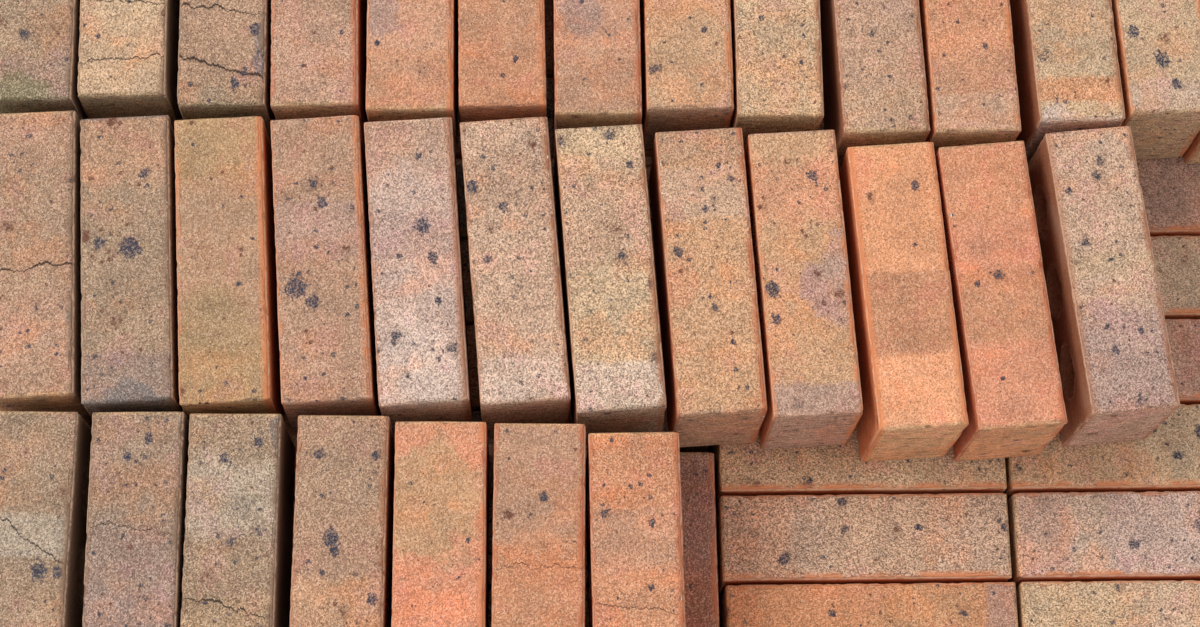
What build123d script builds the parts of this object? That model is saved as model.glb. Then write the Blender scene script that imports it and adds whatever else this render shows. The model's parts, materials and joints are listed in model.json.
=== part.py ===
"""A part-used pallet of facing bricks: four courses of bricks on edge on a timber block pallet.

X runs along the pallet's length, Y from front to back and Z up. The origin is the middle of the
pallet's footprint, on the floor. All sizes are in millimetres.
"""
import os
from math import sin

from build123d import *

# Brick: a wire-cut facing brick. It stands on edge, so its bed width is upright
brick_length = 215.0
brick_width = 102.5
brick_height = 65.0
corner_cut = 3.0
perforation_diameter = 36.0
perforation_pitch = 62.0
perforation_count = 3
perforation_flat_count = 16

# Pack: crosswise courses have columns of bricks and a strip of lengthwise ones between them
bed_joint = 2.0
end_joint = 3.0
columns_each_side = 2
bricks_in_column = 13
bricks_in_row = 14
rows_in_course = 4
unevenness = 1.5

# Course 3: how far each brick of its strip has slid back, from the front
strip_slides = (16.0, 25.5, 24.5, 23.5)

# Course 3: bricks of its third column that show where the top course is taken away
bared_bricks = (1, 2, 3)

# Top course: for each row how far its first brick lies from its regular place, the joint before
# each next brick, how far each brick is pushed back, and its turn in degrees. Front row first
front_row_lead = (-18.5, 22.0)
front_row_joints = (10.0, 2.0, 9.5, 4.0, 3.5, 3.5)
front_row_pushes = (5.0, 4.0, 2.0, 0.0, -5.0, -7.0, -14.0)
front_row_turns = (-1.0, 0.0, -0.5, -1.0, -0.5, -1.0, 0.5)

second_row_lead = (-25.5, 19.0)
second_row_joints = (3.5, 3.0, 5.5, 3.0, 5.5, 3.5, 7.0, 3.0, 8.0, 3.5, 15.5)
second_row_pushes = (14.0, 10.0, 9.0, 9.0, 7.0, 7.0, 1.0, -2.0, -4.0, -14.0, -14.0, -3.0)
second_row_turns = (2.5, 3.0, 3.0, 3.5, 3.5, 4.0, 3.5, 3.0, 3.0, 3.5, 4.5, 5.0)

third_row_lead = (-34.5, 26.0)
third_row_joints = (2.0, 8.5, 2.0, 6.0, 2.0, 6.0, 2.5, 2.0, 9.0, 3.0, 11.0, 2.0, 2.0)
third_row_pushes = (12.0, 15.0, 7.0, 7.0, 3.0, 6.0, -1.0, 3.0, -3.0, -16.0, -16.0, -8.0, -2.0, -5.0)
third_row_turns = (0.5, 1.0, 0.5, 1.0, 0.0, 0.5, 0.0, 0.0, -0.5, 1.5, 1.0, 2.0, 2.5, 2.0)

back_row_lead = (-19.5, 28.0)
back_row_joints = (3.0, 3.0, 6.0, 2.5, 3.0, 5.0, 3.0, 2.5, 6.0, 3.0, 4.0, 3.0, 3.0)
back_row_pushes = (12.5, 12.0, 5.5, 5.0, 4.0, 4.0, 1.0, 1.5, -4.0, -13.0, -9.0, -2.5, -3.0, -4.0)
back_row_turns = (0.5, 0.5, -0.5, 0.0, 0.5, 0.0, -0.5, 0.0, 0.5, 0.5, 0.0, -0.5, 0.0, 0.5)

# Pallet: base boards, three rows of blocks, stringer boards across them, and deck boards
pallet_length = 1020.0
pallet_depth = 960.0
board_thickness = 22.0
block_length = 100.0
block_depth = 100.0
block_height = 78.0
deck_board_width = 110.0
deck_board_count = 7
base_board_chamfer = 8.0
board_arris = 2.0

base_top = board_thickness
block_top = base_top + block_height
stringer_top = block_top + board_thickness
deck_top = stringer_top + board_thickness


def export_node(part: Part, name: str) -> None:
    """Label a finished node and write it as parts/name.step."""
    part.label = name
    export_step(part, f"parts/{name}.step")


def make_brick(cut_corners: bool, perforated: bool = False, round_holes: bool = False) -> Part:
    """One brick on edge at the origin: its length along X, its bed faces to the front and the back.

    The clay column leaves its die with soft corners and with the perforations along it, and is cut
    by wires at the two bed faces.
    """
    with BuildPart() as brick:
        with BuildSketch(Plane.XZ.offset(-brick_height / 2)) as bed_face:
            with Locations((0, brick_width / 2)):
                Rectangle(brick_length, brick_width)
            if cut_corners:
                chamfer(bed_face.vertices(), corner_cut)
            if perforated:
                with Locations((0, brick_width / 2)):
                    with GridLocations(perforation_pitch, 0, perforation_count, 1):
                        if round_holes:
                            Circle(perforation_diameter / 2, mode=Mode.SUBTRACT)
                        else:
                            RegularPolygon(perforation_diameter / 2, perforation_flat_count, mode=Mode.SUBTRACT)
        extrude(amount=brick_height)
    return brick.part


# Bored bricks have true round perforations. Facing bricks show a bed face, and their perforations
# have flats to keep the stack light. Edge bricks show a header or their top, and inner bricks are hidden
BORED = "bored"
FACING = "facing"
EDGE = "edge"
INNER = "inner"
BRICKS = {
    BORED: make_brick(cut_corners=True, perforated=True, round_holes=True),
    FACING: make_brick(cut_corners=True, perforated=True),
    EDGE: make_brick(cut_corners=True),
    INNER: make_brick(cut_corners=False),
}

# The turn of a brick that lies lengthwise, with its length along Y
LENGTHWISE = 90.0


def lay_course(name: str, level: float, places: list) -> None:
    """Lay one course as a node of separate bricks.

    Each place is a kind of brick, the brick's middle in X and Y, and its turn about Z.
    """
    with BuildPart() as course:
        for kind, brick in BRICKS.items():
            spots = [Location((x, y, level), (0, 0, turn)) for k, x, y, turn in places if k == kind]
            if spots:
                with Locations(*spots):
                    add(brick)
    export_node(course.part, name)


def shift(index: int) -> float:
    """A small uneven shift of the bricks in the regular courses."""
    return unevenness * sin(2.4 * index)


def regular_place(row: int, number: int) -> tuple:
    """The regular place in X and Y of a brick in a lengthwise course."""
    x = (number - (bricks_in_row - 1) / 2) * (brick_height + bed_joint)
    y = (row - (rows_in_course - 1) / 2) * (brick_length + end_joint)
    return x, y


def lay_crosswise_course(name: str, level: float, slides: tuple, bared: tuple, front: str) -> None:
    """Lay a course of columns of crosswise bricks with a strip of lengthwise ones in the middle.

    slides says how far each strip brick has slid back, bared lists the bricks of the third column
    that show from above, and front is the kind of the columns' front bricks.
    """
    places = []
    column_pitch = brick_length + end_joint
    first_column = (brick_height + brick_length) / 2 + end_joint
    brick_pitch = brick_height + bed_joint
    for column in range(2 * columns_each_side):
        side = -1 if column < columns_each_side else 1
        step = columns_each_side - 1 - column if side < 0 else column - columns_each_side
        middle = side * (first_column + step * column_pitch)
        for number in range(bricks_in_column):
            shown = column == columns_each_side and number in bared
            if number == 0:
                kind = front
            elif number == bricks_in_column - 1:
                kind = FACING
            elif shown or column in (0, 2 * columns_each_side - 1):
                kind = EDGE
            else:
                kind = INNER
            y = (number - (bricks_in_column - 1) / 2) * brick_pitch
            places.append((kind, middle + shift(number + 5 * column), y, 0.0))
    strip_pitch = brick_length + bed_joint
    for number, slide in enumerate(slides):
        kind = EDGE if number in (0, len(slides) - 1) else INNER
        y = (number - (len(slides) - 1) / 2) * strip_pitch + slide
        places.append((kind, 0.0, y, LENGTHWISE))
    lay_course(name, level, places)


def lay_lengthwise_course(name: str, level: float) -> None:
    """Lay a regular course of rows of lengthwise bricks."""
    places = []
    for row in range(rows_in_course):
        for number in range(bricks_in_row):
            if number in (0, bricks_in_row - 1):
                kind = FACING
            elif row in (0, rows_in_course - 1):
                kind = EDGE
            else:
                kind = INNER
            x, y = regular_place(row, number)
            places.append((kind, x, y + shift(number + 3 * row), LENGTHWISE))
    lay_course(name, level, places)


def lay_top_course(name: str, level: float, rows: tuple) -> None:
    """Lay the loosened top course, each brick where it has been left."""
    places = []
    for row, ((lead_x, lead_y), joints, pushes, turns) in enumerate(rows):
        first_x, row_y = regular_place(row, 0)
        x = first_x + lead_x
        for number, (push, turn) in enumerate(zip(pushes, turns)):
            if number > 0:
                x += brick_height + joints[number - 1]
            kind = FACING if number in (0, len(pushes) - 1) else EDGE
            places.append((kind, x, row_y + lead_y + push, LENGTHWISE + turn))
    lay_course(name, level, places)


def make_base_board(name: str, y: float) -> None:
    """A base board along the pallet, with its long top edges cut back for pallet-truck wheels."""
    with BuildPart() as board:
        with BuildSketch(Plane.XY):
            with Locations((0, y)):
                Rectangle(pallet_length, block_depth)
        extrude(amount=board_thickness)
        long_top_edges = board.faces().sort_by(Axis.Z)[-1].edges().filter_by(Axis.X)
        chamfer(long_top_edges, base_board_chamfer)
    export_node(board.part, name)


def make_block(name: str, x: float, y: float) -> None:
    """A sawn block between the base boards and the stringer boards."""
    with BuildPart() as block:
        with BuildSketch(Plane.XY.offset(base_top)):
            with Locations((x, y)):
                Rectangle(block_length, block_depth)
        extrude(amount=block_height)
        chamfer(block.edges().filter_by(Axis.Z), board_arris)
    export_node(block.part, name)


def make_stringer_board(name: str, x: float) -> None:
    """A board from front to back over a row of blocks, which carries the deck boards."""
    with BuildPart() as board:
        with BuildSketch(Plane.XY.offset(block_top)):
            with Locations((x, 0)):
                Rectangle(block_length, pallet_depth)
        extrude(amount=board_thickness)
    export_node(board.part, name)


def make_deck_board(name: str, y: float) -> None:
    """A board along the pallet, on which the bricks stand."""
    with BuildPart() as board:
        with BuildSketch(Plane.XY.offset(stringer_top)):
            with Locations((0, y)):
                Rectangle(pallet_length, deck_board_width)
        extrude(amount=board_thickness)
        long_top_edges = board.faces().sort_by(Axis.Z)[-1].edges().filter_by(Axis.X)
        chamfer(long_top_edges, board_arris)
    export_node(board.part, name)


def make_pallet() -> None:
    """The timber pallet: base boards, blocks, stringer boards and deck boards."""
    block_x = (pallet_length - block_length) / 2
    block_y = (pallet_depth - block_depth) / 2
    for row, y in enumerate((-block_y, 0.0, block_y)):
        make_base_board(f"base_board_{row + 1}", y)
        for column, x in enumerate((-block_x, 0.0, block_x)):
            make_block(f"block_{3 * row + column + 1}", x, y)
    for column, x in enumerate((-block_x, 0.0, block_x)):
        make_stringer_board(f"stringer_board_{column + 1}", x)
    deck_pitch = (pallet_depth - deck_board_width) / (deck_board_count - 1)
    for number in range(deck_board_count):
        y = (number - (deck_board_count - 1) / 2) * deck_pitch
        make_deck_board(f"deck_board_{number + 1}", y)


def make_bricks() -> None:
    """The four courses of bricks on the deck."""
    no_slides = (0.0,) * rows_in_course
    top_rows = (
        (front_row_lead, front_row_joints, front_row_pushes, front_row_turns),
        (second_row_lead, second_row_joints, second_row_pushes, second_row_turns),
        (third_row_lead, third_row_joints, third_row_pushes, third_row_turns),
        (back_row_lead, back_row_joints, back_row_pushes, back_row_turns),
    )
    lay_crosswise_course("course_1", deck_top, no_slides, (), FACING)
    lay_lengthwise_course("course_2", deck_top + brick_width)
    lay_crosswise_course("course_3", deck_top + 2 * brick_width, strip_slides, bared_bricks, BORED)
    lay_top_course("course_4", deck_top + 3 * brick_width, top_rows)


os.makedirs("parts", exist_ok=True)
make_pallet()
make_bricks()
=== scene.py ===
"""A part-used pallet of facing bricks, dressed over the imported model.

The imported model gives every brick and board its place. The bricks of each course are read from
it, and a laying tree puts a detailed brick or board in each place, wears its arrises and gives
it its two finishes. All lengths are in metres.
"""
from __future__ import annotations

import json
import logging
import math
from dataclasses import dataclass, field, replace
from enum import Enum
from typing import Sequence, Union

import bpy
import numpy as np
from mathutils import Matrix, Vector

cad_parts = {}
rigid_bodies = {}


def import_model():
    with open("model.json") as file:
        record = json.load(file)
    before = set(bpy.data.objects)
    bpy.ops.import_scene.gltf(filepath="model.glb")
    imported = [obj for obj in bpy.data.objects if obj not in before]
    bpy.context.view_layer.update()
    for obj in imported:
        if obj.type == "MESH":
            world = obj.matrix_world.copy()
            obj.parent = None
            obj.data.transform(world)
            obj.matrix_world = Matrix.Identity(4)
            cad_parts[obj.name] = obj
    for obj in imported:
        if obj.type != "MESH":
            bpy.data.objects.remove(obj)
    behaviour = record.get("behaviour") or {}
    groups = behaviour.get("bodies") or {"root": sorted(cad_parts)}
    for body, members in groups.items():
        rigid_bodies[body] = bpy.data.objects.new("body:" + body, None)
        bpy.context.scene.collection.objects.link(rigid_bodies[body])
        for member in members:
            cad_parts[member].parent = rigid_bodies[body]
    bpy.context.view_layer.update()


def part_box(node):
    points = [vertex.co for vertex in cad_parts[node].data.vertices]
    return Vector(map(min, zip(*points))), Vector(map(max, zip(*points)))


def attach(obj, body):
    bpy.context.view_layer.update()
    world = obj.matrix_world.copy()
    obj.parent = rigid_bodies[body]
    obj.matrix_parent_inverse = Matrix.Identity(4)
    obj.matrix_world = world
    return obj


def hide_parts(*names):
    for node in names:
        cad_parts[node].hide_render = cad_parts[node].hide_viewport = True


LOG = logging.getLogger("brick_pallet")
Socket = bpy.types.NodeSocket
Value = Union[Socket, Enum, float, tuple, str, bool]
Outputs = bpy.types.bpy_prop_collection
Sockets = dict[str, Socket]
Drawn = tuple[Socket, Socket, Value]
Pair = tuple[float, float]
Triple = tuple[float, float, float]
NONE: Triple = (0.0, 0.0, 0.0)


class Tone(Enum):
    """Colours of the fired clay and of the timber, as sRGB bytes."""

    DRAB = (166, 137, 112)
    MAUVE_GREY = (158, 131, 116)
    TAN = (183, 143, 117)
    OCHRE = (184, 146, 108)
    TERRACOTTA = (204, 142, 106)
    CORAL = (222, 150, 116)
    GREIGE = (184, 165, 145)
    OLIVE = (168, 138, 102)
    PINK_BUFF = (202, 165, 139)
    PALE_CREAM = (218, 190, 174)
    SOOT = (118, 110, 108)
    MOSS = (128, 120, 88)
    HEADER = (204, 166, 122)
    CRUST = (132, 120, 92)
    STONE = (174, 148, 122)
    BUFF = (198, 160, 128)
    PALE_BUFF = (206, 172, 138)
    OLIVE_BUFF = (188, 152, 114)
    GREY_BROWN = (178, 142, 120)
    CREAM = (206, 174, 150)
    MAUVE_CREAM = (200, 168, 152)
    MAUVE = (172, 138, 126)
    PINK_TAN = (196, 154, 130)
    SALMON = (212, 150, 114)
    ORANGE = (216, 150, 108)
    BRIGHT_ORANGE = (244, 170, 126)
    ORANGE_BUFF = (208, 160, 122)
    BROWN_RED = (168, 112, 88)
    DULL_ORANGE = (202, 142, 107)
    DUSK = (180, 147, 135)
    CLAY_GREY = (136, 108, 88)
    CLAY_ORANGE = (212, 130, 86)
    CLAY_RED = (190, 108, 74)
    CLAY_BROWN = (166, 108, 78)
    PINE = (205, 170, 124)
    SPRUCE = (196, 164, 122)
    LARCH = (190, 148, 104)


class Mark(Enum):
    """Colours of the marks on the clay, the timber and the steel, and of the painted highlights on the
    arrises, as sRGB bytes.
    """

    PALE_GRAIN = (238, 222, 202)
    PIT = (96, 70, 58)
    DASH = (84, 60, 50)
    IRON_STAIN = (112, 76, 62)
    BLUE_IRON = (62, 60, 70)
    BROWN_IRON = (104, 62, 46)
    BLUE_SPOT = (60, 60, 74)
    CRACK = (44, 34, 30)
    TEAR = (92, 58, 44)
    LIME = (242, 236, 224)
    WIRE_DRAG = (92, 56, 40)
    WIRE_IRON = (66, 52, 48)
    WIRE_TEAR = (96, 54, 38)
    BARED_ARRIS = (226, 186, 156)
    LATE_WOOD = (160, 112, 68)
    WEATHER = (152, 142, 126)
    KNOT = (96, 58, 34)
    SAW_MARK = (120, 92, 64)
    RUBBED_WOOD = (206, 182, 146)
    HANDLING = (128, 108, 84)
    SPLIT = (46, 32, 22)
    DIRT = (104, 84, 66)
    END_GRAIN = (140, 112, 82)
    PORE = (86, 62, 42)
    STEEL = (150, 146, 142)
    RUST = (128, 74, 44)
    PALE_FLOOR = (232, 230, 226)


def linear(rgb: Sequence[float]) -> tuple[float, float, float, float]:
    """The linear colour, with full alpha, of an sRGB colour in bytes."""
    shares = [c / 255.0 for c in rgb]
    return (*[s / 12.92 if s <= 0.04045 else ((s + 0.055) / 1.055) ** 2.4 for s in shares], 1.0)


@dataclass(frozen=True)
class Graph:
    """A node tree under construction, for a material, an effect or a laying tree."""

    tree: bpy.types.NodeTree | None = None

    def feed(self, socket: Socket, value: Value) -> None:
        """Feed one input.

        Args:
            socket: the input.
            value: a socket to join to it, or a plain value or a named colour to set it to.
        """
        if isinstance(value, bpy.types.NodeSocket):
            self.tree.links.new(value, socket)
            return
        if isinstance(value, Enum):
            value = linear(value.value)
        if isinstance(value, tuple):
            value = value[: len(socket.default_value)]
        socket.default_value = value

    def node(self, kind: str, inputs: dict | None = None, **settings: object) -> bpy.types.Node:
        """Add a node to the tree.

        Args:
            kind: Blender's name for the kind of node.
            inputs: a value or a socket for each named or numbered input.
            settings: the node's own properties.

        Returns:
            The new node.
        """
        made = self.tree.nodes.new(kind)
        for name, setting in settings.items():
            setattr(made, name, setting)
        for key, value in (inputs or {}).items():
            self.feed(made.inputs[key], value)
        return made

    def first(self, kind: str, inputs: dict | None = None, **settings: object) -> Socket:
        """The first output of a new node, whose arguments are those of node."""
        return self.node(kind, inputs, **settings).outputs[0]

    def place(self, effect: Effect, **inputs: Value) -> Outputs:
        """Place an effect in the tree.

        Args:
            effect: the effect.
            inputs: a value for each of its inputs by name.

        Returns:
            Its outputs by name.
        """
        made = self.tree.nodes.new("ShaderNodeGroup")
        made.node_tree = effect.group()
        for label, value in inputs.items():
            self.feed(made.inputs[label], value)
        return made.outputs

    def maths(self, operation: str, a: Value, b: Value = 0.5, c: Value = 0.5) -> Socket:
        """The result of one sum on numbers."""
        return self.first("ShaderNodeMath", {0: a, 1: b, 2: c}, operation=operation)

    def times(self, a: Value, b: Value) -> Socket:
        """The product of two numbers."""
        return self.maths("MULTIPLY", a, b)

    def over(self, a: Value, b: Value) -> Socket:
        """One number divided by another."""
        return self.maths("DIVIDE", a, b)

    def plus(self, a: Value, b: Value) -> Socket:
        """The sum of two numbers."""
        return self.maths("ADD", a, b)

    def less(self, a: Value, b: Value) -> Socket:
        """One number less another."""
        return self.maths("SUBTRACT", a, b)

    def centred(self, share: Value) -> Socket:
        """A share from 0 to 1, counted from its middle."""
        return self.less(share, 0.5)

    def most(self, a: Value, b: Value) -> Socket:
        """The larger of two numbers."""
        return self.maths("MAXIMUM", a, b)

    def line(self, value: Value, slope: Value, start: Value) -> Socket:
        """A straight line: a number times a slope, and a start."""
        return self.maths("MULTIPLY_ADD", value, slope, start)

    def vector(self, operation: str, a: Value, b: Value = NONE) -> Socket:
        """The result of one sum on vectors."""
        return self.first("ShaderNodeVectorMath", {0: a, 1: b}, operation=operation)

    def length(self, x: Value, y: Value) -> Socket:
        """How far a place lies from the middle of its plane."""
        flat = self.joined(x, y, 0.0)
        return self.node("ShaderNodeVectorMath", {0: flat}, operation="LENGTH").outputs["Value"]

    def scaled(self, vector: Value, factor: Value) -> Socket:
        """A vector or a colour times a number."""
        return self.first("ShaderNodeVectorMath", {0: vector, 3: factor}, operation="SCALE")

    def parts(self, vector: Value) -> list[Socket]:
        """The three parts of a vector."""
        return list(self.node("ShaderNodeSeparateXYZ", {0: vector}).outputs)

    def joined(self, x: Value, y: Value, z: Value) -> Socket:
        """A vector of three numbers."""
        return self.first("ShaderNodeCombineXYZ", {0: x, 1: y, 2: z})

    def noise(self, point: Value, scale: Value, detail: float = 2.0, rough: float = 0.5) -> Socket:
        """Soft noise from 0 to 1 at a point."""
        inputs = {"Vector": point, "Scale": scale, "Detail": detail, "Roughness": rough}
        return self.first("ShaderNodeTexNoise", inputs)

    def cells(self, point: Value, scale: Value) -> Outputs:
        """The outputs of a scatter of cells, each with its own colour."""
        return self.node("ShaderNodeTexVoronoi", {"Vector": point, "Scale": scale}).outputs

    def ease(
        self, value: Value, low: Value, high: Value, to_low: Value = 0.0, to_high: Value = 1.0
    ) -> Socket:
        """A smooth step of a value from one range to another."""
        inputs = {0: value, 1: low, 2: high, 3: to_low, 4: to_high}
        return self.first("ShaderNodeMapRange", inputs, interpolation_type="SMOOTHSTEP")

    def fall(self, value: Value, low: Value, high: Value) -> Socket:
        """A smooth step down, from 1 at the low end to 0 at the high end."""
        return self.ease(value, low, high, 1.0, 0.0)

    def blend(self, share: Value, colour: Value, other: Value) -> Socket:
        """A colour taken towards another by a share."""
        inputs = {0: share, 6: colour, 7: other}
        return self.node("ShaderNodeMix", inputs, data_type="RGBA", blend_type="MIX").outputs[2]

    def tint(self, colour: Value, other: Value, mask: Value, strength: Value) -> Socket:
        """A colour taken towards another under a mask, by at most the strength."""
        return self.blend(self.times(mask, strength), colour, other)

    def attribute(self, name: str, output: str = "Vector") -> Socket:
        """One of the mesh's attributes in a material, as its Vector, Color or Fac."""
        node = self.node("ShaderNodeAttribute", attribute_name=name, attribute_type="GEOMETRY")
        return node.outputs[output]

    def named(self, name: str, data_type: str) -> Socket:
        """One of the mesh's attributes in a laying tree."""
        return self.first("GeometryNodeInputNamedAttribute", {"Name": name}, data_type=data_type)


FLOAT = "NodeSocketFloat"
VECTOR = "NodeSocketVector"
GEOMETRY = "NodeSocketGeometry"
POINT = ("Point", VECTOR, NONE)
SPOTS = ("spot_1", "spot_2", "spot_3")
CRACKS = ("crack_1", "crack_2")


@dataclass(frozen=True)
class Effect(Graph):
    """A group of shader nodes that several finishes share, built once."""

    name: str = ""
    takes: tuple = ()
    gives: tuple = ()
    given: Outputs | None = None

    def draw(self) -> Sockets:
        """The socket that each output shows, with the nodes that make it."""
        raise NotImplementedError

    def group(self) -> bpy.types.NodeTree:
        """Build the effect's node group at its first use.

        Returns:
            The group.
        """
        known = bpy.data.node_groups.get(self.name)
        if known:
            return known
        tree = bpy.data.node_groups.new(self.name, "ShaderNodeTree")
        for label, kind, default in self.takes:
            socket = tree.interface.new_socket(name=label, in_out="INPUT", socket_type=kind)
            socket.default_value = default
        for label in self.gives:
            tree.interface.new_socket(name=label, in_out="OUTPUT", socket_type=FLOAT)
        given = tree.nodes.new("NodeGroupInput").outputs
        shown = tree.nodes.new("NodeGroupOutput").inputs
        started = replace(self, tree=tree, given=given)
        for label, socket in started.draw().items():
            started.feed(shown[label], socket)
        return tree


@dataclass(frozen=True)
class Sand(Effect):
    """Fine sand pressed into clay: an even grain, and sparse dark pits between the grains."""

    name: str = "Sand grains"
    takes: tuple = (POINT, ("Size", FLOAT, 0.001), ("Contrast", FLOAT, 0.4))
    gives: tuple = ("Shade", "Pits", "Light", "Grain")
    elsewhere: Triple = (3.1, 1.7, 5.3)
    clump_rate: float = 0.38
    clump_strength: float = 0.2
    swing: float = 2.15
    pitted: Pair = (0.90, 0.94)
    open_clump: Pair = (0.4, 0.6)
    pale: Pair = (0.8, 0.86)

    def draw(self) -> Sockets:
        """Draw grains of their own shades about 1, clumps of them, a few pits and a few pale grains.

        Returns:
            The socket that each output shows.
        """
        rate = self.over(1.0, self.given["Size"])
        shade, pit, _ = self.parts(self.cells(self.given["Point"], rate)["Color"])
        far = self.vector("ADD", self.given["Point"], self.elsewhere)
        clump = self.noise(far, self.times(rate, self.clump_rate), 2.0, 0.65)
        both = self.line(self.centred(clump), self.clump_strength, self.centred(shade))
        return {
            "Shade": self.line(both, self.times(self.given["Contrast"], self.swing), 1.0),
            "Pits": self.times(self.ease(pit, *self.pitted), self.ease(clump, *self.open_clump)),
            "Light": self.ease(shade, *self.pale),
            "Grain": clump,
        }


@dataclass(frozen=True)
class Mottle(Effect):
    """Cloudy light and dark, and separate soft patches."""

    name: str = "Mottle"
    takes: tuple = (POINT, ("Size", FLOAT, 0.04), ("Contrast", FLOAT, 0.3))
    gives: tuple = ("Shade", "Patch")
    elsewhere: Triple = (7.7, 2.3, 4.9)
    swing: float = 2.0
    patch_rate: float = 0.7
    patchy: Pair = (0.48, 0.66)

    def draw(self) -> Sockets:
        """Draw clouds about a shade of 1, and patches that cover about a third.

        Returns:
            The socket that each output shows.
        """
        rate = self.over(1.0, self.given["Size"])
        cloud = self.noise(self.given["Point"], rate, 3.0, 0.6)
        shade = self.line(self.centred(cloud), self.times(self.given["Contrast"], self.swing), 1.0)
        other = self.vector("ADD", self.given["Point"], self.elsewhere)
        patch = self.noise(other, self.times(rate, self.patch_rate), 2.0, 0.55)
        return {"Shade": shade, "Patch": self.ease(patch, *self.patchy)}


@dataclass(frozen=True)
class Specks(Effect):
    """Iron spots, knots or dirt: a scatter of ragged spots of many sizes."""

    name: str = "Specks"
    takes: tuple = (
        POINT,
        ("Spacing", FLOAT, 0.02),
        ("Share", FLOAT, 0.4),
        ("Largest", FLOAT, 0.004),
        ("Ragged", FLOAT, 0.5),
    )
    gives: tuple = ("Mask", "Halo", "Kind")
    smallest: float = 0.2
    raggedness: float = 2.6
    core: float = 0.7
    rim: float = 1.15
    halo: float = 2.4

    def draw(self) -> Sockets:
        """Draw a spot at some of the cells' middles, sized by the cell's own colour.

        Returns:
            The socket that each output shows.
        """
        rate = self.over(1.0, self.given["Spacing"])
        cells = self.cells(self.given["Point"], rate)
        chance, size, kind = self.parts(cells["Color"])
        kept = self.maths("LESS_THAN", chance, self.given["Share"])
        reach = self.line(self.times(size, size), 1.0 - self.smallest, self.smallest)
        radius = self.times(self.times(self.given["Largest"], rate), reach)
        torn = self.line(self.given["Ragged"], self.raggedness, 1.0 - self.raggedness / 2)
        away = self.times(cells["Distance"], torn)
        inner = self.times(radius, self.core)
        spot = self.fall(away, inner, self.times(radius, self.rim))
        halo = self.fall(away, inner, self.times(radius, self.halo))
        return {"Mask": self.times(spot, kept), "Halo": self.times(halo, kept), "Kind": kind}


@dataclass(frozen=True)
class Blot(Effect):
    """One ragged spot or stain at a named place, for what is seen on a certain brick."""

    name: str = "Blot"
    takes: tuple = (POINT, ("Spot", VECTOR, NONE), ("Ragged", FLOAT, 0.5), ("Blur", FLOAT, 0.3))
    gives: tuple = ("Mask",)
    squat: float = 1.2
    no_spot: float = 0.00001

    def draw(self) -> Sockets:
        """Draw the spot from its place along and across the brick, and its radius.

        Returns:
            The socket that each output shows.
        """
        along, across, _ = self.parts(self.given["Point"])
        spot_along, spot_across, radius = self.parts(self.given["Spot"])
        off_along = self.less(along, spot_along)
        off_across = self.times(self.less(across, spot_across), self.squat)
        away = self.times(self.length(off_along, off_across), self.times(self.given["Ragged"], 2.0))
        inner = self.times(radius, self.less(1.0, self.given["Blur"]))
        outer = self.line(radius, self.plus(1.0, self.given["Blur"]), self.no_spot)
        return {"Mask": self.fall(away, inner, outer)}


@dataclass(frozen=True)
class Crack(Effect):
    """A wandering crack across a brick, or a split along a board."""

    name: str = "Crack"
    takes: tuple = (POINT, ("Line", VECTOR, NONE), ("Width", FLOAT, 0.0007), ("Wander", FLOAT, 0.012))
    gives: tuple = ("Mask",)
    wander_rate: float = 60.0
    spread: float = 3.0
    gapes: float = 5.0
    blur: float = 0.00012

    def draw(self) -> Sockets:
        """Draw a thin line: its place along X, its slope over Y and its strength make the Line.

        Returns:
            The socket that each output shows.
        """
        x, y, z = self.parts(self.given["Point"])
        place, slope, strength = self.parts(self.given["Line"])
        path = self.joined(self.times(place, self.spread), y, z)
        noise = self.noise(path, self.wander_rate, 5.0, 0.72)
        middle = self.line(slope, y, place)
        middle = self.line(self.centred(noise), self.given["Wander"], middle)
        away = self.maths("ABSOLUTE", self.less(x, middle))
        gape = self.maths("PINGPONG", self.times(noise, self.gapes), 1.0)
        gape = self.line(gape, 0.75, 0.3)
        width = self.times(self.times(self.given["Width"], strength), gape)
        line = self.fall(away, self.times(width, 0.3), self.plus(width, self.blur))
        return {"Mask": self.times(line, self.ease(strength, 0.05, 0.3))}


@dataclass(frozen=True)
class ArrisWearAndHighlight(Effect):
    """Wear along the arrises, in nibbles, and a torn lip beside them; the nibbles and the fade from the
    arris also place painted highlights.
    """

    name: str = "Arris wear"
    takes: tuple = (POINT, ("Edge", FLOAT, 1.0), ("Reach", FLOAT, 0.004), ("Nibble", FLOAT, 0.006))
    gives: tuple = ("Mask", "Line", "Lip", "Tear")
    nibbled: Pair = (0.26, 0.40)
    torn: Pair = (0.53, 0.62)
    lip_edge: float = 0.0004
    tear: Pair = (0.0001, 0.0007)

    def draw(self) -> Sockets:
        """Draw nibbles that fade away from the arris, the plain fade, and a lip with its tear.

        Returns:
            The socket that each output shows.
        """
        rate = self.over(1.0, self.given["Nibble"])
        nibble = self.noise(self.given["Point"], rate, 2.0, 0.6)
        fade = self.fall(self.given["Edge"], 0.0, self.given["Reach"])
        reach = self.line(fade, 0.45, self.centred(nibble))
        along = self.noise(self.given["Point"], self.times(rate, 0.3), 2.0, 0.6)
        wander = self.times(self.centred(along), self.given["Reach"])
        place = self.line(wander, 1.2, self.times(self.given["Reach"], 0.75))
        lip = self.less(self.given["Edge"], place)
        outside = self.fall(lip, -self.lip_edge, self.lip_edge)
        thin = self.fall(self.maths("ABSOLUTE", lip), *self.tear)
        torn = self.ease(along, *self.torn)
        return {
            "Mask": self.ease(reach, *self.nibbled),
            "Line": fade,
            "Lip": self.times(outside, torn),
            "Tear": self.times(thin, torn),
        }


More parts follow.
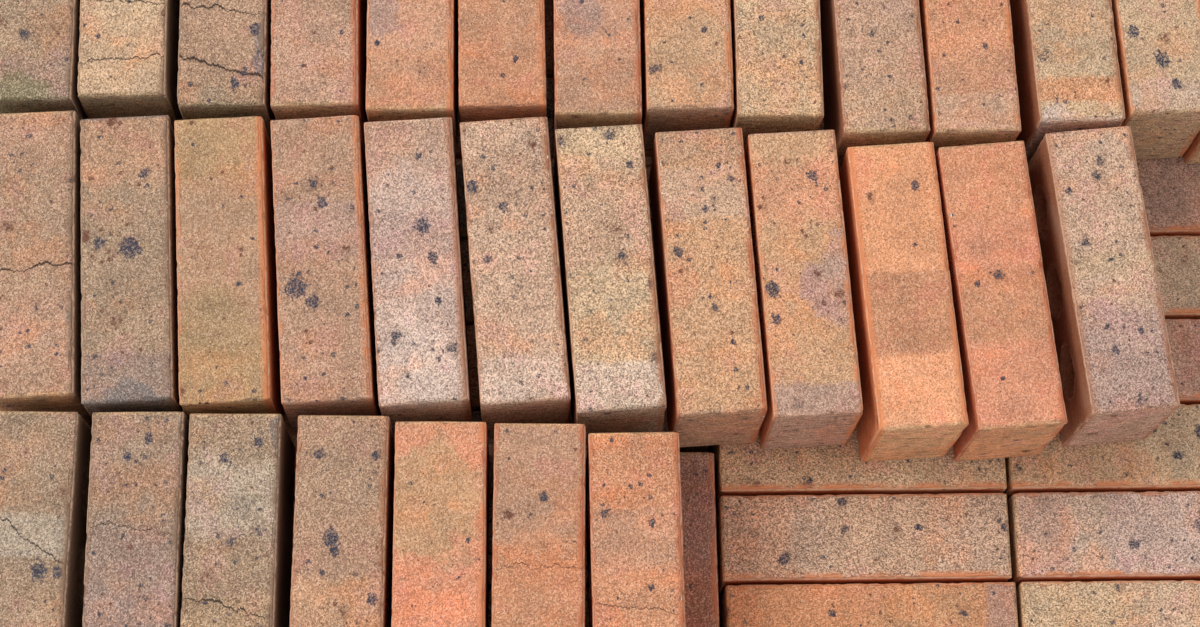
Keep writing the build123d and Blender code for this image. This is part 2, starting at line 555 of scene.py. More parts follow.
@dataclass(frozen=True)
class Streaks(Effect):
    """Lines left by a wire, a die or a saw, long in X and narrow in Y and Z."""

    name: str = "Streaks"
    takes: tuple = (POINT, ("Length", FLOAT, 0.06), ("Width", FLOAT, 0.002))
    gives: tuple = ("Shade", "Dash")
    elsewhere: float = 5.0
    dashed: Pair = (0.62, 0.72)

    def draw(self) -> Sockets:
        """Draw stretched noise, and the sparse dark dashes in it.

        Returns:
            The socket that each output shows.
        """
        x, y, z = self.parts(self.given["Point"])
        long = self.over(x, self.given["Length"])
        across = self.over(y, self.given["Width"])
        deep = self.over(z, self.given["Width"])
        shade = self.noise(self.joined(long, across, deep), 1.0, 3.0, 0.55)
        dash = self.noise(self.joined(self.plus(long, self.elsewhere), across, deep), 0.8, 1.0)
        return {"Shade": shade, "Dash": self.ease(dash, *self.dashed)}


@dataclass(frozen=True)
class Finish(Graph):
    """The shared start and end of every finish of the bricks and the timber.

    A pair of numbers gives streaks their length and width, and specks their spacing and largest radius.
    """

    name: str = "finish"
    roughness: float = 0.9
    relief: float = 0.8
    relief_unit: float = 0.001

    def colour(self) -> Drawn:
        """The finish's colour, its height in relief units, and its roughness, with their nodes."""
        raise NotImplementedError

    def material(self) -> bpy.types.Material:
        """Build the material of this finish at its first use.

        Returns:
            The material.
        """
        known = bpy.data.materials.get(self.name)
        if known:
            return known
        made = bpy.data.materials.new(self.name)
        made.use_nodes = True
        made.node_tree.nodes.clear()
        started = replace(self, tree=made.node_tree)
        colour, height, roughness = started.colour()
        inputs = {"Height": height, "Strength": self.relief, "Distance": self.relief_unit}
        bump = started.first("ShaderNodeBump", inputs)
        inputs = {"Base Color": colour, "Normal": bump, "Roughness": roughness}
        shader = started.node("ShaderNodeBsdfPrincipled", inputs)
        self.sheen(shader)
        started.node("ShaderNodeOutputMaterial", {0: shader.outputs[0]})
        return made

    def sheen(self, shader: bpy.types.Node) -> None:
        """Set the plain values of the finish on its shader."""
        shader.inputs["Specular IOR Level"].default_value = 0.25


@dataclass(frozen=True)
class SandedFace(Finish):
    """The sanded, multi-coloured stretcher and header faces.

    The edge of a zone is given by its name, how far it wanders and how much it is blurred.
    """

    name: str = "sanded brick face"
    half_length: float = 0.1075
    corner: float = 0.0045
    top_from: float = 0.045
    grain_size: float = 0.0008
    cloud_size: float = 0.036
    cloud_squeeze: Triple = (1.5, 0.75, 0.75)
    warm: Triple = (1.12, 0.92, 0.82)
    grey: Triple = (0.88, 0.91, 0.94)
    pink: Triple = (1.04, 0.93, 1.0)
    zone_edges: tuple = (("patch", 0.06, 0.012), ("band", 0.012, 0.003))
    spots: Pair = (0.019, 0.0044)
    fine_spots: Pair = (0.0066, 0.0019)
    brown_from: float = 0.7
    right_roll: Pair = (-0.0245, -0.0305)
    left_roll: Pair = (0.0260, 0.0305)

    def zones(self, lay: Socket, wander: Socket, grain: Socket) -> Socket:
        """Draw the tones that the kiln left: a soft patch, a sharper kiss band and an arc.

        Args:
            lay: the place on the brick.
            wander: slow noise, for the zones' edges.
            grain: fine noise, which makes the edges grainy.

        Returns:
            The colour.
        """
        along = self.parts(lay)[0]
        colour = self.attribute("tone", "Color")
        slow = self.centred(wander)
        fine = self.times(self.centred(grain), 0.012)
        for name, swing, blur in self.zone_edges:
            place, reach, strength = self.parts(self.attribute(name))
            away = self.maths("ABSOLUTE", self.less(along, place))
            away = self.plus(self.line(slow, swing, away), fine)
            mask = self.fall(away, self.less(reach, blur), self.plus(reach, blur))
            colour = self.tint(colour, self.attribute(f"{name}_tone", "Color"), mask, strength)
        ragged = self.line(slow, 0.9, 0.5)
        arc = self.place(Blot(), Point=lay, Spot=self.attribute("arc"), Ragged=ragged, Blur=0.16)
        return self.tint(colour, self.attribute("arc_tone", "Color"), arc["Mask"], 0.75)

    def sanded(self, colour: Socket, point: Socket, wander: Socket, sand: Outputs) -> Socket:
        """Cloud the tones, press the sand into them and cast them warm, grey and pink in turn.

        Args:
            colour: the tones.
            point: the place in the patterns.
            wander: slow noise, for the casts.
            sand: the outputs of the sand.

        Returns:
            The colour.
        """
        drawn = self.vector("MULTIPLY", point, self.cloud_squeeze)
        cloud = self.place(Mottle(), Point=drawn, Size=self.cloud_size, Contrast=0.3)
        colour = self.scaled(colour, self.times(cloud["Shade"], sand["Shade"]))
        colour = self.tint(colour, Mark.PALE_GRAIN, sand["Light"], 0.22)
        warm = self.vector("MULTIPLY", colour, self.warm)
        grey = self.vector("MULTIPLY", colour, self.grey)
        pink = self.vector("MULTIPLY", colour, self.pink)
        colour = self.tint(colour, warm, cloud["Patch"], 0.8)
        colour = self.blend(self.ease(wander, 0.48, 0.64, 0.0, 0.85), colour, grey)
        colour = self.blend(self.ease(wander, 0.34, 0.46, 0.9, 0.0), colour, pink)
        return self.tint(colour, Mark.PIT, sand["Pits"], 0.7)

    def dragged(self, colour: Socket, lay: Socket, point: Socket, head: Socket) -> Socket:
        """Drag the clay of the header faces down, with dark dashes in it.

        Args:
            colour: the colour so far.
            lay: the place on the brick.
            point: the place in the patterns.
            head: where the header faces are.

        Returns:
            The colour.
        """
        _, across, up = self.parts(lay)
        place = self.joined(across, up, self.parts(point)[0])
        drag = self.place(Streaks(), Point=place, Length=0.011, Width=0.0026)
        rough = self.times(self.centred(drag["Shade"]), head)
        colour = self.scaled(colour, self.line(rough, 1.3, 1.0))
        return self.tint(colour, Mark.DASH, self.times(drag["Dash"], head), 0.55)

    def known_marks(self, colour: Socket, lay: Socket, ragged: Socket, through: Socket) -> Socket:
        """Draw the spots and the cracks that certain bricks have.

        Args:
            colour: the colour so far.
            lay: the place on the brick.
            ragged: fine noise, for the spots' rims.
            through: how far the sand lets a spot show.

        Returns:
            The colour.
        """
        top = self.maths("GREATER_THAN", self.parts(lay)[2], self.top_from)
        spotted: Value = 0.0
        for name in SPOTS:
            blot = self.place(Blot(), Point=lay, Spot=self.attribute(name), Ragged=ragged, Blur=0.22)
            spotted = self.most(spotted, blot["Mask"])
        colour = self.blend(self.times(self.times(spotted, top), through), colour, Mark.BLUE_SPOT)
        split: Value = 0.0
        for name in CRACKS:
            line = self.attribute(name)
            crack = self.place(Crack(), Point=lay, Line=line, Width=0.0009, Wander=0.02)
            split = self.most(split, crack["Mask"])
        return self.tint(colour, Mark.CRACK, split, 0.9)

    def rolled(self, lay: Socket, wander: Socket, roll: Socket) -> Socket:
        """Where the clay of a rolled arris shows: in patches on the right, or on the left if below 0.

        Args:
            lay: the place on the brick.
            wander: slow noise, for the patches.
            roll: how much clay shows.

        Returns:
            The mask.
        """
        across = self.parts(lay)[1]
        patchy = self.ease(wander, 0.40, 0.58, 0.0, 0.9)
        right = self.times(self.ease(across, *self.right_roll), self.most(roll, patchy))
        left = self.times(self.ease(across, *self.left_roll), roll)
        return self.less(self.most(right, 0.0), self.maths("MINIMUM", left, 0.0))

    def colour(self) -> Drawn:
        """Draw tones, clouds, sand, header dashes, iron spots, cracks, torn arrises and white arris flecks
        that are partly painted highlight.

        Returns:
            The colour, the height and the roughness.
        """
        lay = self.attribute("lay")
        point = self.vector("ADD", lay, self.attribute("shift"))
        freckles, contrast, roll = self.parts(self.attribute("habit"))
        sand = self.place(Sand(), Point=point, Size=self.grain_size, Contrast=contrast)
        wander = self.noise(point, 38.0, 3.0, 0.6)
        colour = self.zones(lay, wander, sand["Grain"])
        from_middle = self.maths("ABSOLUTE", self.parts(lay)[0])
        head = self.ease(from_middle, self.half_length - self.corner, self.half_length - 0.001)
        colour = self.tint(colour, self.attribute("head", "Color"), head, 0.6)
        colour = self.sanded(colour, point, wander, sand)
        colour = self.dragged(colour, lay, point, head)
        ragged = self.noise(point, 330.0, 2.0, 0.6)
        iron, fine = (
            self.place(Specks(), Point=point, Share=freckles, Ragged=ragged, Spacing=spacing, Largest=size)
            for spacing, size in (self.spots, self.fine_spots)
        )
        spots = self.most(iron["Mask"], self.times(fine["Mask"], 0.95))
        colour = self.tint(colour, Mark.IRON_STAIN, iron["Halo"], 0.25)
        brown = self.maths("GREATER_THAN", iron["Kind"], self.brown_from)
        dark = self.blend(brown, Mark.BLUE_IRON, Mark.BROWN_IRON)
        through = self.ease(sand["Shade"], 0.8, 1.4, 1.0, 0.55)
        colour = self.blend(self.times(spots, through), colour, dark)
        colour = self.known_marks(colour, lay, ragged, through)
        edge = self.attribute("edge", "Fac")
        worn = self.place(ArrisWearAndHighlight(), Point=point, Edge=edge, Reach=0.0042, Nibble=0.0046)
        clay = self.scaled(self.attribute("clay", "Color"), 1.12)
        torn = self.most(self.times(worn["Mask"], 0.6), self.times(worn["Lip"], 0.45))
        bare = self.most(torn, self.rolled(lay, wander, roll))
        colour = self.blend(bare, colour, clay)
        colour = self.tint(colour, Mark.TEAR, worn["Tear"], 0.35)
        # White flecks near the arrises: partly lime in the clay, partly painted highlight where the arris
        # catches the light.
        rim = self.ease(worn["Line"], 0.1, 0.3)
        lime_and_glint = self.times(self.ease(fine["Kind"], 0.90, 0.92), rim)
        colour = self.blend(self.times(lime_and_glint, fine["Mask"]), colour, Mark.LIME)
        height = self.line(wander, 0.6, self.times(sand["Grain"], 0.5))
        height = self.line(worn["Lip"], -0.3, height)
        height = self.line(worn["Mask"], -0.25, height)
        return colour, height, self.line(spots, -0.25, self.roughness)


@dataclass(frozen=True)
class WireCutFace(Finish):
    """The bed faces, cut by a wire, and the walls of the perforations."""

    name: str = "wire-cut brick face"
    slant: float = 0.45
    wire: Pair = (0.055, 0.0022)
    cloud_size: float = 0.05
    grain_size: float = 0.001
    iron: Pair = (0.02, 0.0034)

    def colour(self) -> Drawn:
        """Draw body clay with slanting wire streaks, pores, iron spots, torn arrises and a painted highlight
        along them.

        Returns:
            The colour, the height and the roughness.
        """
        point = self.vector("ADD", self.attribute("lay"), self.attribute("shift"))
        u, v, w = self.parts(point)
        slanted = self.joined(self.line(w, self.slant, u), self.line(u, -self.slant, w), v)
        length, width = self.wire
        wire = self.place(Streaks(), Point=slanted, Length=length, Width=width)
        cloud = self.place(Mottle(), Point=point, Size=self.cloud_size, Contrast=0.3)
        grain = self.place(Sand(), Point=point, Size=self.grain_size, Contrast=0.24)
        shade = self.line(self.centred(wire["Shade"]), 0.7, 1.0)
        shade = self.times(shade, self.times(cloud["Shade"], grain["Shade"]))
        colour = self.scaled(self.attribute("clay", "Color"), shade)
        tone = self.attribute("tone", "Color")
        colour = self.tint(colour, tone, cloud["Patch"], 0.35)
        colour = self.tint(colour, Mark.WIRE_DRAG, wire["Dash"], 0.35)
        spacing, size = self.iron
        ragged = wire["Shade"]
        iron = self.place(Specks(), Point=point, Share=0.5, Ragged=ragged, Spacing=spacing, Largest=size)
        colour = self.tint(colour, Mark.WIRE_IRON, iron["Mask"], 0.8)
        edge = self.attribute("edge", "Fac")
        worn = self.place(ArrisWearAndHighlight(), Point=point, Edge=edge, Reach=0.006, Nibble=0.0045)
        # Painted highlight along the arris: a band lightened towards the sanded tone, and pale nibbles that
        # are partly real wear, partly painted highlight.
        colour = self.tint(colour, tone, worn["Line"], 0.45)
        colour = self.tint(colour, Mark.BARED_ARRIS, worn["Mask"], 0.5)
        colour = self.tint(colour, Mark.WIRE_TEAR, worn["Tear"], 0.5)
        height = self.line(wire["Shade"], 0.55, self.times(grain["Grain"], 0.1))
        return colour, self.line(worn["Lip"], 0.3, height), self.roughness


@dataclass(frozen=True)
class SawnTimber(Finish):
    """Rough-sawn softwood, a little weathered, with rings, knots, saw marks and end splits."""

    name: str = "sawn softwood"
    roughness: float = 0.78
    ring: float = 0.0052
    ring_bend: float = 0.03
    knot_bend: float = 0.014
    along_grain: float = 0.25
    fibre: Pair = (0.09, 0.0011)
    saw: Pair = (0.06, 0.0021)
    knots: Pair = (0.17, 0.02)
    dirt: Pair = (0.03, 0.012)
    split_from_end: Pair = (0.02, 0.16)

    def rings(self, lay: Socket, point: Socket, knot: Socket) -> Socket:
        """Draw the late wood of the rings, which bend round the knots.

        Args:
            lay: the place on the board.
            point: the place in the patterns.
            knot: how near a knot is.

        Returns:
            The mask of the late wood.
        """
        u, v, w = self.parts(point)
        slow = self.noise(self.joined(self.times(u, self.along_grain), v, w), 9.0, 3.0)
        _, across, up = self.parts(lay)
        pith_across, pith_up, _ = self.parts(self.attribute("pith"))
        reach = self.length(self.less(across, pith_across), self.less(up, pith_up))
        reach = self.line(self.centred(slow), self.ring_bend, reach)
        reach = self.line(knot, self.knot_bend, reach)
        wave = self.maths("SINE", self.times(reach, 2 * math.pi / self.ring))
        return self.ease(wave, 0.1, 0.95)

    def end_split(self, lay: Socket) -> Socket:
        """Draw a split that runs in from the board's ends.

        Args:
            lay: the place on the board.

        Returns:
            The mask of the split.
        """
        along, across, up = self.parts(lay)
        turned = self.joined(across, along, up)
        line = self.attribute("split")
        split = self.place(Crack(), Point=turned, Line=line, Width=0.0011, Wander=0.01)
        near = self.fall(self.attribute("end", "Fac"), *self.split_from_end)
        return self.times(split["Mask"], near)

    def colour(self) -> Drawn:
        """Draw the rings about a pith that runs along the board, and what the saw and use left.

        Returns:
            The colour, the height and the roughness.
        """
        lay = self.attribute("lay")
        point = self.vector("ADD", lay, self.attribute("shift"))
        u, v, w = self.parts(point)
        spacing, size = self.knots
        flat = self.joined(u, v, 0.0)
        knot = self.place(Specks(), Point=flat, Share=0.5, Spacing=spacing, Largest=size)
        late = self.rings(lay, point, knot["Halo"])
        colour = self.tint(self.attribute("tone", "Color"), Mark.LATE_WOOD, late, 0.5)
        length, width = self.fibre
        fibre = self.place(Streaks(), Point=point, Length=length, Width=width)
        stretched = self.joined(self.times(u, 0.3), v, w)
        cloud = self.place(Mottle(), Point=stretched, Size=0.05, Contrast=0.3)
        shade = self.line(self.centred(fibre["Shade"]), 0.45, 1.0)
        colour = self.scaled(colour, self.times(shade, cloud["Shade"]))
        colour = self.tint(colour, Mark.WEATHER, cloud["Patch"], 0.5)
        colour = self.tint(colour, Mark.KNOT, knot["Mask"], 0.85)
        length, width = self.saw
        saw = self.place(Streaks(), Point=self.joined(v, u, w), Length=length, Width=width)
        colour = self.tint(colour, Mark.SAW_MARK, saw["Dash"], 0.22)
        edge = self.attribute("edge", "Fac")
        worn = self.place(ArrisWearAndHighlight(), Point=point, Edge=edge, Reach=0.007, Nibble=0.009)
        colour = self.tint(colour, Mark.RUBBED_WOOD, worn["Mask"], 0.45)
        colour = self.tint(colour, Mark.HANDLING, worn["Line"], 0.25)
        split = self.end_split(lay)
        colour = self.tint(colour, Mark.SPLIT, split, 0.85)
        spacing, size = self.dirt
        ragged = fibre["Shade"]
        dirt = self.place(Specks(), Point=point, Share=0.35, Ragged=ragged, Spacing=spacing, Largest=size)
        colour = self.tint(colour, Mark.DIRT, dirt["Halo"], 0.22)
        height = self.line(saw["Shade"], 0.5, self.times(fibre["Shade"], 0.35))
        height = self.line(late, 0.12, height)
        return colour, self.line(split, -1.2, height), self.roughness


@dataclass(frozen=True)
class SawnEnd(SawnTimber):
    """The cross-cut ends of the boards and blocks, which take up more dirt."""

    name: str = "cross-cut softwood end"
    roughness: float = 0.86
    pore_size: float = 0.0016

    def colour(self) -> Drawn:
        """Draw the sawn timber's rings, darkened and greyed as end grain is.

        Returns:
            The colour, the height and the roughness.
        """
        colour, height, rough = super().colour()
        point = self.vector("ADD", self.attribute("lay"), self.attribute("shift"))
        pores = self.place(Sand(), Point=point, Size=self.pore_size)
        colour = self.blend(0.38, colour, Mark.END_GRAIN)
        colour = self.tint(colour, Mark.PORE, pores["Pits"], 0.35)
        return colour, self.line(pores["Grain"], 0.3, height), rough


@dataclass(frozen=True)
class NailSteel(Finish):
    """Dull steel of the nail heads, rusted in spots."""

    name: str = "nail steel"
    roughness: float = 0.45
    rust_size: float = 0.004
    pit_size: float = 0.0007

    def colour(self) -> Drawn:
        """Draw grey steel under brown rust.

        Returns:
            The colour, the height and the roughness.
        """
        place = self.node("ShaderNodeTexCoord").outputs["Object"]
        rust = self.place(Mottle(), Point=place, Size=self.rust_size, Contrast=0.5)
        pits = self.place(Sand(), Point=place, Size=self.pit_size)
        colour = self.scaled(Mark.STEEL, rust["Shade"])
        colour = self.tint(colour, Mark.RUST, rust["Patch"], 0.9)
        rough = self.line(rust["Patch"], 0.4, self.roughness)
        return colour, self.times(pits["Grain"], 0.1), rough

    def sheen(self, shader: bpy.types.Node) -> None:
        """Make the steel a metal."""
        shader.inputs["Metallic"].default_value = 0.7


Loops = tuple[int, int, int]
ON_FACE = 1e-6
ABOVE_ZERO = 1e-9


@dataclass
class Skin:
    """The closed skin of a block: a lattice of points on its six sides, in the block's own axes.

    X runs along the block, and the lines give where the lattice's loops lie on each axis. A square
    corner is cut off straight, and only at the top.
    """

    lines: tuple[np.ndarray, np.ndarray, np.ndarray]
    cut_axis: int
    corner: float
    corner_axes: tuple[int, int]
    plan_corner: float = 0.0
    rolled: Pair = (0.0, 0.0)
    square_corner: bool = False
    holes: tuple[float, ...] = ()
    hole_radius: float = 0.018
    hole_cells: int = 6
    mouth: float = 0.0012
    mouth_shares: Triple = (0.45, 0.12, 0.0)
    wall_rings: int = 6
    arris_cut: float = 0.3
    laid: dict[Loops, int] = field(default_factory=dict)
    points: list[Triple] = field(default_factory=list)
    faces: list[tuple[int, ...]] = field(default_factory=list)
    cut: list[bool] = field(default_factory=list)

    def half(self) -> np.ndarray:
        """Half the block's sizes."""
        return np.array([line[-1] for line in self.lines])

    def block(self, middle: float) -> tuple[int, int]:
        """Where the lattice makes room for a hole.

        Args:
            middle: the hole's place along X.

        Returns:
            The first loop of the room in X and in Z.
        """
        near = int(np.argmin(np.abs(self.lines[0] - middle))) - self.hole_cells // 2
        low = int(np.argmin(np.abs(self.lines[2]))) - self.hole_cells // 2
        return near, low

    def point_at(self, key: Loops) -> int:
        """Lay a lattice point at its first use.

        Args:
            key: the point's loops.

        Returns:
            Its number.
        """
        if key not in self.laid:
            self.laid[key] = len(self.points)
            self.points.append(tuple(line[loop] for line, loop in zip(self.lines, key)))
        return self.laid[key]

    def lattice(self) -> None:
        """Lay the six sides, with room for the holes left out."""
        rooms = [self.block(middle) for middle in self.holes]
        size = self.hole_cells
        last = [len(line) - 1 for line in self.lines]
        for axis in range(3):
            a, b = [n for n in range(3) if n != axis]
            for loop in (0, last[axis]):
                outward = (loop > 0) != (axis == 1)
                for p, q in np.ndindex(last[a], last[b]):
                    if axis == 1 and any(i <= p < i + size and k <= q < k + size for i, k in rooms):
                        continue
                    ring = []
                    for m, n in ((p, q), (p + 1, q), (p + 1, q + 1), (p, q + 1)):
                        key = [loop, loop, loop]
                        key[a], key[b] = m, n
                        ring.append(self.point_at(tuple(key)))
                    self.faces.append(tuple(ring if outward else ring[::-1]))
                    self.cut.append(axis == self.cut_axis)

    def bore(self, middle: float) -> None:
        """Join a round hole to the room left for it on both bed faces, and line it.

        Args:
            middle: the hole's place along X.
        """
        i, k = self.block(middle)
        size, last = self.hole_cells, len(self.lines[1]) - 1
        rim = [(i + n, k) for n in range(size)] + [(i + size, k + n) for n in range(size)]
        rim += [(i + size - n, k + size) for n in range(size)] + [(i, k + size - n) for n in range(size)]
        count = len(rim)
        turns = np.radians(-135.0 + 360.0 * np.arange(count) / count)
        circle = np.column_stack([np.cos(turns), np.sin(turns)])
        half = self.half()[1]
        mouths = []
        for loop, y in ((0, -half), (last, half)):
            outer = [self.laid[(m, loop, n)] for m, n in rim]
            square = np.array([(self.lines[0][m] - middle, self.lines[2][n]) for m, n in rim])
            for share in self.mouth_shares:
                flat = square * share + circle * (self.hole_radius + self.mouth) * (1 - share)
                inner = self.ring(flat, middle, y)
                self.strip(outer, inner, loop > 0)
                outer = inner
            mouths.append(outer)
        wall = mouths[0]
        for step in range(self.wall_rings + 1):
            y = (half - self.mouth) * (2 * step / self.wall_rings - 1)
            inner = self.ring(circle * self.hole_radius, middle, y)
            self.strip(wall, inner, False)
            wall = inner
        self.strip(wall, mouths[1], False)

    def ring(self, flat: np.ndarray, middle: float, y: float) -> list[int]:
        """Add a ring of points about a hole at one depth.

        Args:
            flat: the points' places about the hole, in X and Z.
            middle: the hole's place along X.
            y: the depth.

        Returns:
            The points' numbers.
        """
        first = len(self.points)
        self.points += [(middle + x, y, z) for x, z in flat]
        return list(range(first, first + len(flat)))

    def strip(self, outer: list[int], inner: list[int], far: bool) -> None:
        """Join two rings by a strip of faces.

        Args:
            outer: the points of the one ring.
            inner: the points of the other.
            far: whether the strip is on the far bed face, and so turned round.
        """
        count = len(outer)
        for n in range(count):
            face = (outer[n], outer[(n + 1) % count], inner[(n + 1) % count], inner[n])
            self.faces.append(face[::-1] if far else face)
            self.cut.append(True)

    def eased(
        self, moved: np.ndarray, points: np.ndarray, axes: tuple[int, int], radius: float, side: int = 0
    ) -> np.ndarray:
        """Round or cut back the corners that run along one axis.

        Args:
            moved: the points as moved so far.
            points: the lattice's points, whose places decide which ones move.
            axes: the two axes across those corners.
            radius: how far the corners are eased.
            side: which side of the first axis is eased, or 0 for both.

        Returns:
            The moved points.
        """
        if radius <= 0:
            return moved
        moved = moved.copy()
        half = self.half()[list(axes)]
        over = np.abs(points[:, list(axes)]) - half + radius
        near = (over > 0).all(1)
        if self.square_corner:
            near &= points[:, axes[1]] > 0
        if side:
            near &= points[:, axes[0]] * side > 0
        reach = over[near].max(1)
        length = over[near].sum(1) if self.square_corner else np.hypot(*over[near].T)
        pulled = over[near] * (reach / np.maximum(length, ABOVE_ZERO))[:, None] + half - radius
        for n, axis in enumerate(axes):
            here = moved[near, axis]
            moved[near, axis] = np.sign(here) * np.minimum(pulled[:, n], np.abs(here))
        return moved

    def edges(self, points: np.ndarray, arris: float) -> tuple[np.ndarray, np.ndarray]:
        """How far each point lies from its arris, and the points with that arris eased.

        Args:
            points: the lattice's points, before their corners are eased.
            arris: how far the arris round the cut faces is eased.

        Returns:
            The distances and the moved points.
        """
        half = self.half()
        depth = half - np.abs(points)
        a, b = self.corner_axes
        rim = np.minimum(depth[:, a], depth[:, b])
        third = 3 - a - b
        away = np.maximum(rim, depth[:, third])
        for middle in self.holes:
            from_hole = np.hypot(points[:, 0] - middle, points[:, 2]) - self.hole_radius
            nearer = np.minimum(away, np.maximum(from_hole, 0.0))
            away = np.where(depth[:, third] < ON_FACE, nearer, away)
        moved = self.eased(points, points, self.corner_axes, self.corner)
        moved = self.eased(moved, points, (0, 1), self.plan_corner)
        for side, radius in zip((-1, 1), self.rolled):
            moved = self.eased(moved, points, (1, 2), radius, side)
        sharp = (rim < ON_FACE) & (depth[:, third] < ON_FACE)
        cut = np.where(depth[sharp] < ON_FACE, arris * self.arris_cut, 0.0)
        moved[sharp] -= np.sign(points[sharp]) * cut
        return away, moved

    def mesh(self, name: str, arris: float) -> bpy.types.Mesh:
        """Make the skin a mesh that knows each point's place, its arris and its end.

        Args:
            name: the mesh's name.
            arris: how far the arrises are eased.

        Returns:
            The mesh, with its cut faces marked.
        """
        self.lattice()
        for middle in self.holes:
            self.bore(middle)
        away, moved = self.edges(np.array(self.points), arris)
        made = bpy.data.meshes.new(name)
        made.from_pydata([tuple(p) for p in moved], [], self.faces)
        made.attributes.new("lay", "FLOAT_VECTOR", "POINT").data.foreach_set("vector", moved.ravel())
        made.attributes.new("edge", "FLOAT", "POINT").data.foreach_set("value", away)
        end = self.half()[0] - np.abs(moved[:, 0])
        made.attributes.new("end", "FLOAT", "POINT").data.foreach_set("value", end)
        made.attributes.new("cut", "BOOLEAN", "FACE").data.foreach_set("value", self.cut)
        made.update()
        return made


def loops(half: float, near: Sequence[float], pitch: float) -> np.ndarray:
    """Lines across a side: close together near both ends, and evenly spaced between them.

    Args:
        half: half the side's length.
        near: distances from each end, with 0 first.
        pitch: the widest space between the even lines.

    Returns:
        The lines' places, from one end to the other.
    """
    outer = [half - d for d in near]
    count = max(2, 2 * math.ceil(outer[-1] / pitch))
    inner = np.linspace(-outer[-1], outer[-1], count + 1)
    return np.array([-o for o in outer[:-1]] + list(inner) + outer[:-1][::-1])


class Fineness(Enum):
    """How finely a brick is modelled: pitch of its loops, its near loops, and a hole's loops."""

    FINE = (0.0036, (0.0, 0.0012, 0.0026, 0.0045, 0.0085), 12)
    OUTER = (0.009, (0.0, 0.0013, 0.0042), 8)
    HIDDEN = (0.2, (0.0, 0.004), 4)


@dataclass(frozen=True)
class BrickForm:
    """The wire-cut facing brick on edge, its length along X and its bed faces across Y.

    The loops across it lie several times wider apart than those along it.
    """

    length: float = 0.215
    thickness: float = 0.065
    width: float = 0.1025
    corner: float = 0.0034
    plan_corner: float = 0.0018
    rolled: Pair = (0.0042, 0.0022)
    arris: float = 0.0006
    hole_radius: float = 0.018
    hole_pitch: float = 0.062
    hole_room: float = 0.023
    spread_across: float = 4.0
    bored_spread_across: float = 3.0

    def bored_loops(self, near: Sequence[float], pitch: float, cells: int, along: bool) -> np.ndarray:
        """Loops that leave even room about each hole.

        Args:
            near: distances of the close loops from each end, with 0 first.
            pitch: the widest space between the even loops.
            cells: how many spaces a hole's room has.
            along: whether they cross the brick's length, or else its width.

        Returns:
            The loops' places, from one end to the other.
        """
        half = (self.length if along else self.width) / 2
        middles = (-self.hole_pitch, 0.0, self.hole_pitch) if along else (0.0,)
        marks: list[float] = [-half + d for d in near]
        for middle in middles:
            low, high = middle - self.hole_room, middle + self.hole_room
            gap = low - marks[-1]
            count = max(1, math.ceil(gap / pitch))
            marks += list(marks[-1] + gap * (np.arange(count) + 1) / count)
            marks += list(low + (high - low) * (np.arange(cells) + 1) / cells)
        gap = half - near[-1] - marks[-1]
        count = max(1, math.ceil(gap / pitch))
        marks += list(marks[-1] + gap * (np.arange(count) + 1) / count)
        return np.array(marks[:-1] + [half - d for d in near][::-1])

    def shape(self, fineness: Fineness, bored: bool) -> bpy.types.Mesh:
        """One brick's mesh.

        Args:
            fineness: how finely it is modelled.
            bored: whether its three perforations are modelled.

        Returns:
            The mesh.
        """
        pitch, near, cells = fineness.value
        if bored:
            lines = (
                self.bored_loops(near, pitch, cells, True),
                loops(self.thickness / 2, near, pitch * self.bored_spread_across),
                self.bored_loops(near, pitch, cells, False),
            )
            holes = (-self.hole_pitch, 0.0, self.hole_pitch)
        else:
            sizes = (self.length, self.thickness, self.width)
            pitches = (pitch, pitch * self.spread_across, pitch * self.spread_across)
            lines = tuple(loops(size / 2, near, space) for size, space in zip(sizes, pitches))
            holes = ()
        corners = (self.corner, (0, 2), self.plan_corner, self.rolled)
        skin = Skin(lines, 1, *corners, holes=holes, hole_radius=self.hole_radius, hole_cells=cells)
        return skin.mesh(f"{fineness.name.lower()} {'bored' if bored else 'plain'} brick", self.arris)


@dataclass(frozen=True)
class Wear:
    """How a piece is dented and chipped. Each value is one of the laying tree's inputs."""

    undulation_depth: float = 0.001
    undulation_size: float = 0.04
    chip_depth: float = 0.0026
    chip_size: float = 0.0065
    chip_reach: float = 0.0046
    chip_share: float = 0.5

    def inputs(self) -> dict[str, float]:
        """The values by the names of the tree's inputs."""
        return {name.replace("_", " ").title(): value for name, value in vars(self).items()}


def started(name: str, takes: Sequence[tuple[str, str, float | None]]) -> Graph:
    """Start a Geometry Nodes tree that takes one geometry and gives another.

    Args:
        name: the tree's name.
        takes: each other input's name, its kind of socket, and its value or None.

    Returns:
        The tree, with nothing drawn in it.
    """
    tree = bpy.data.node_groups.new(name, "GeometryNodeTree")
    for label, kind, default in (("Geometry", GEOMETRY, None), *takes):
        socket = tree.interface.new_socket(name=label, in_out="INPUT", socket_type=kind)
        if default is not None:
            socket.default_value = default
    tree.interface.new_socket(name="Geometry", in_out="OUTPUT", socket_type=GEOMETRY)
    return Graph(tree)


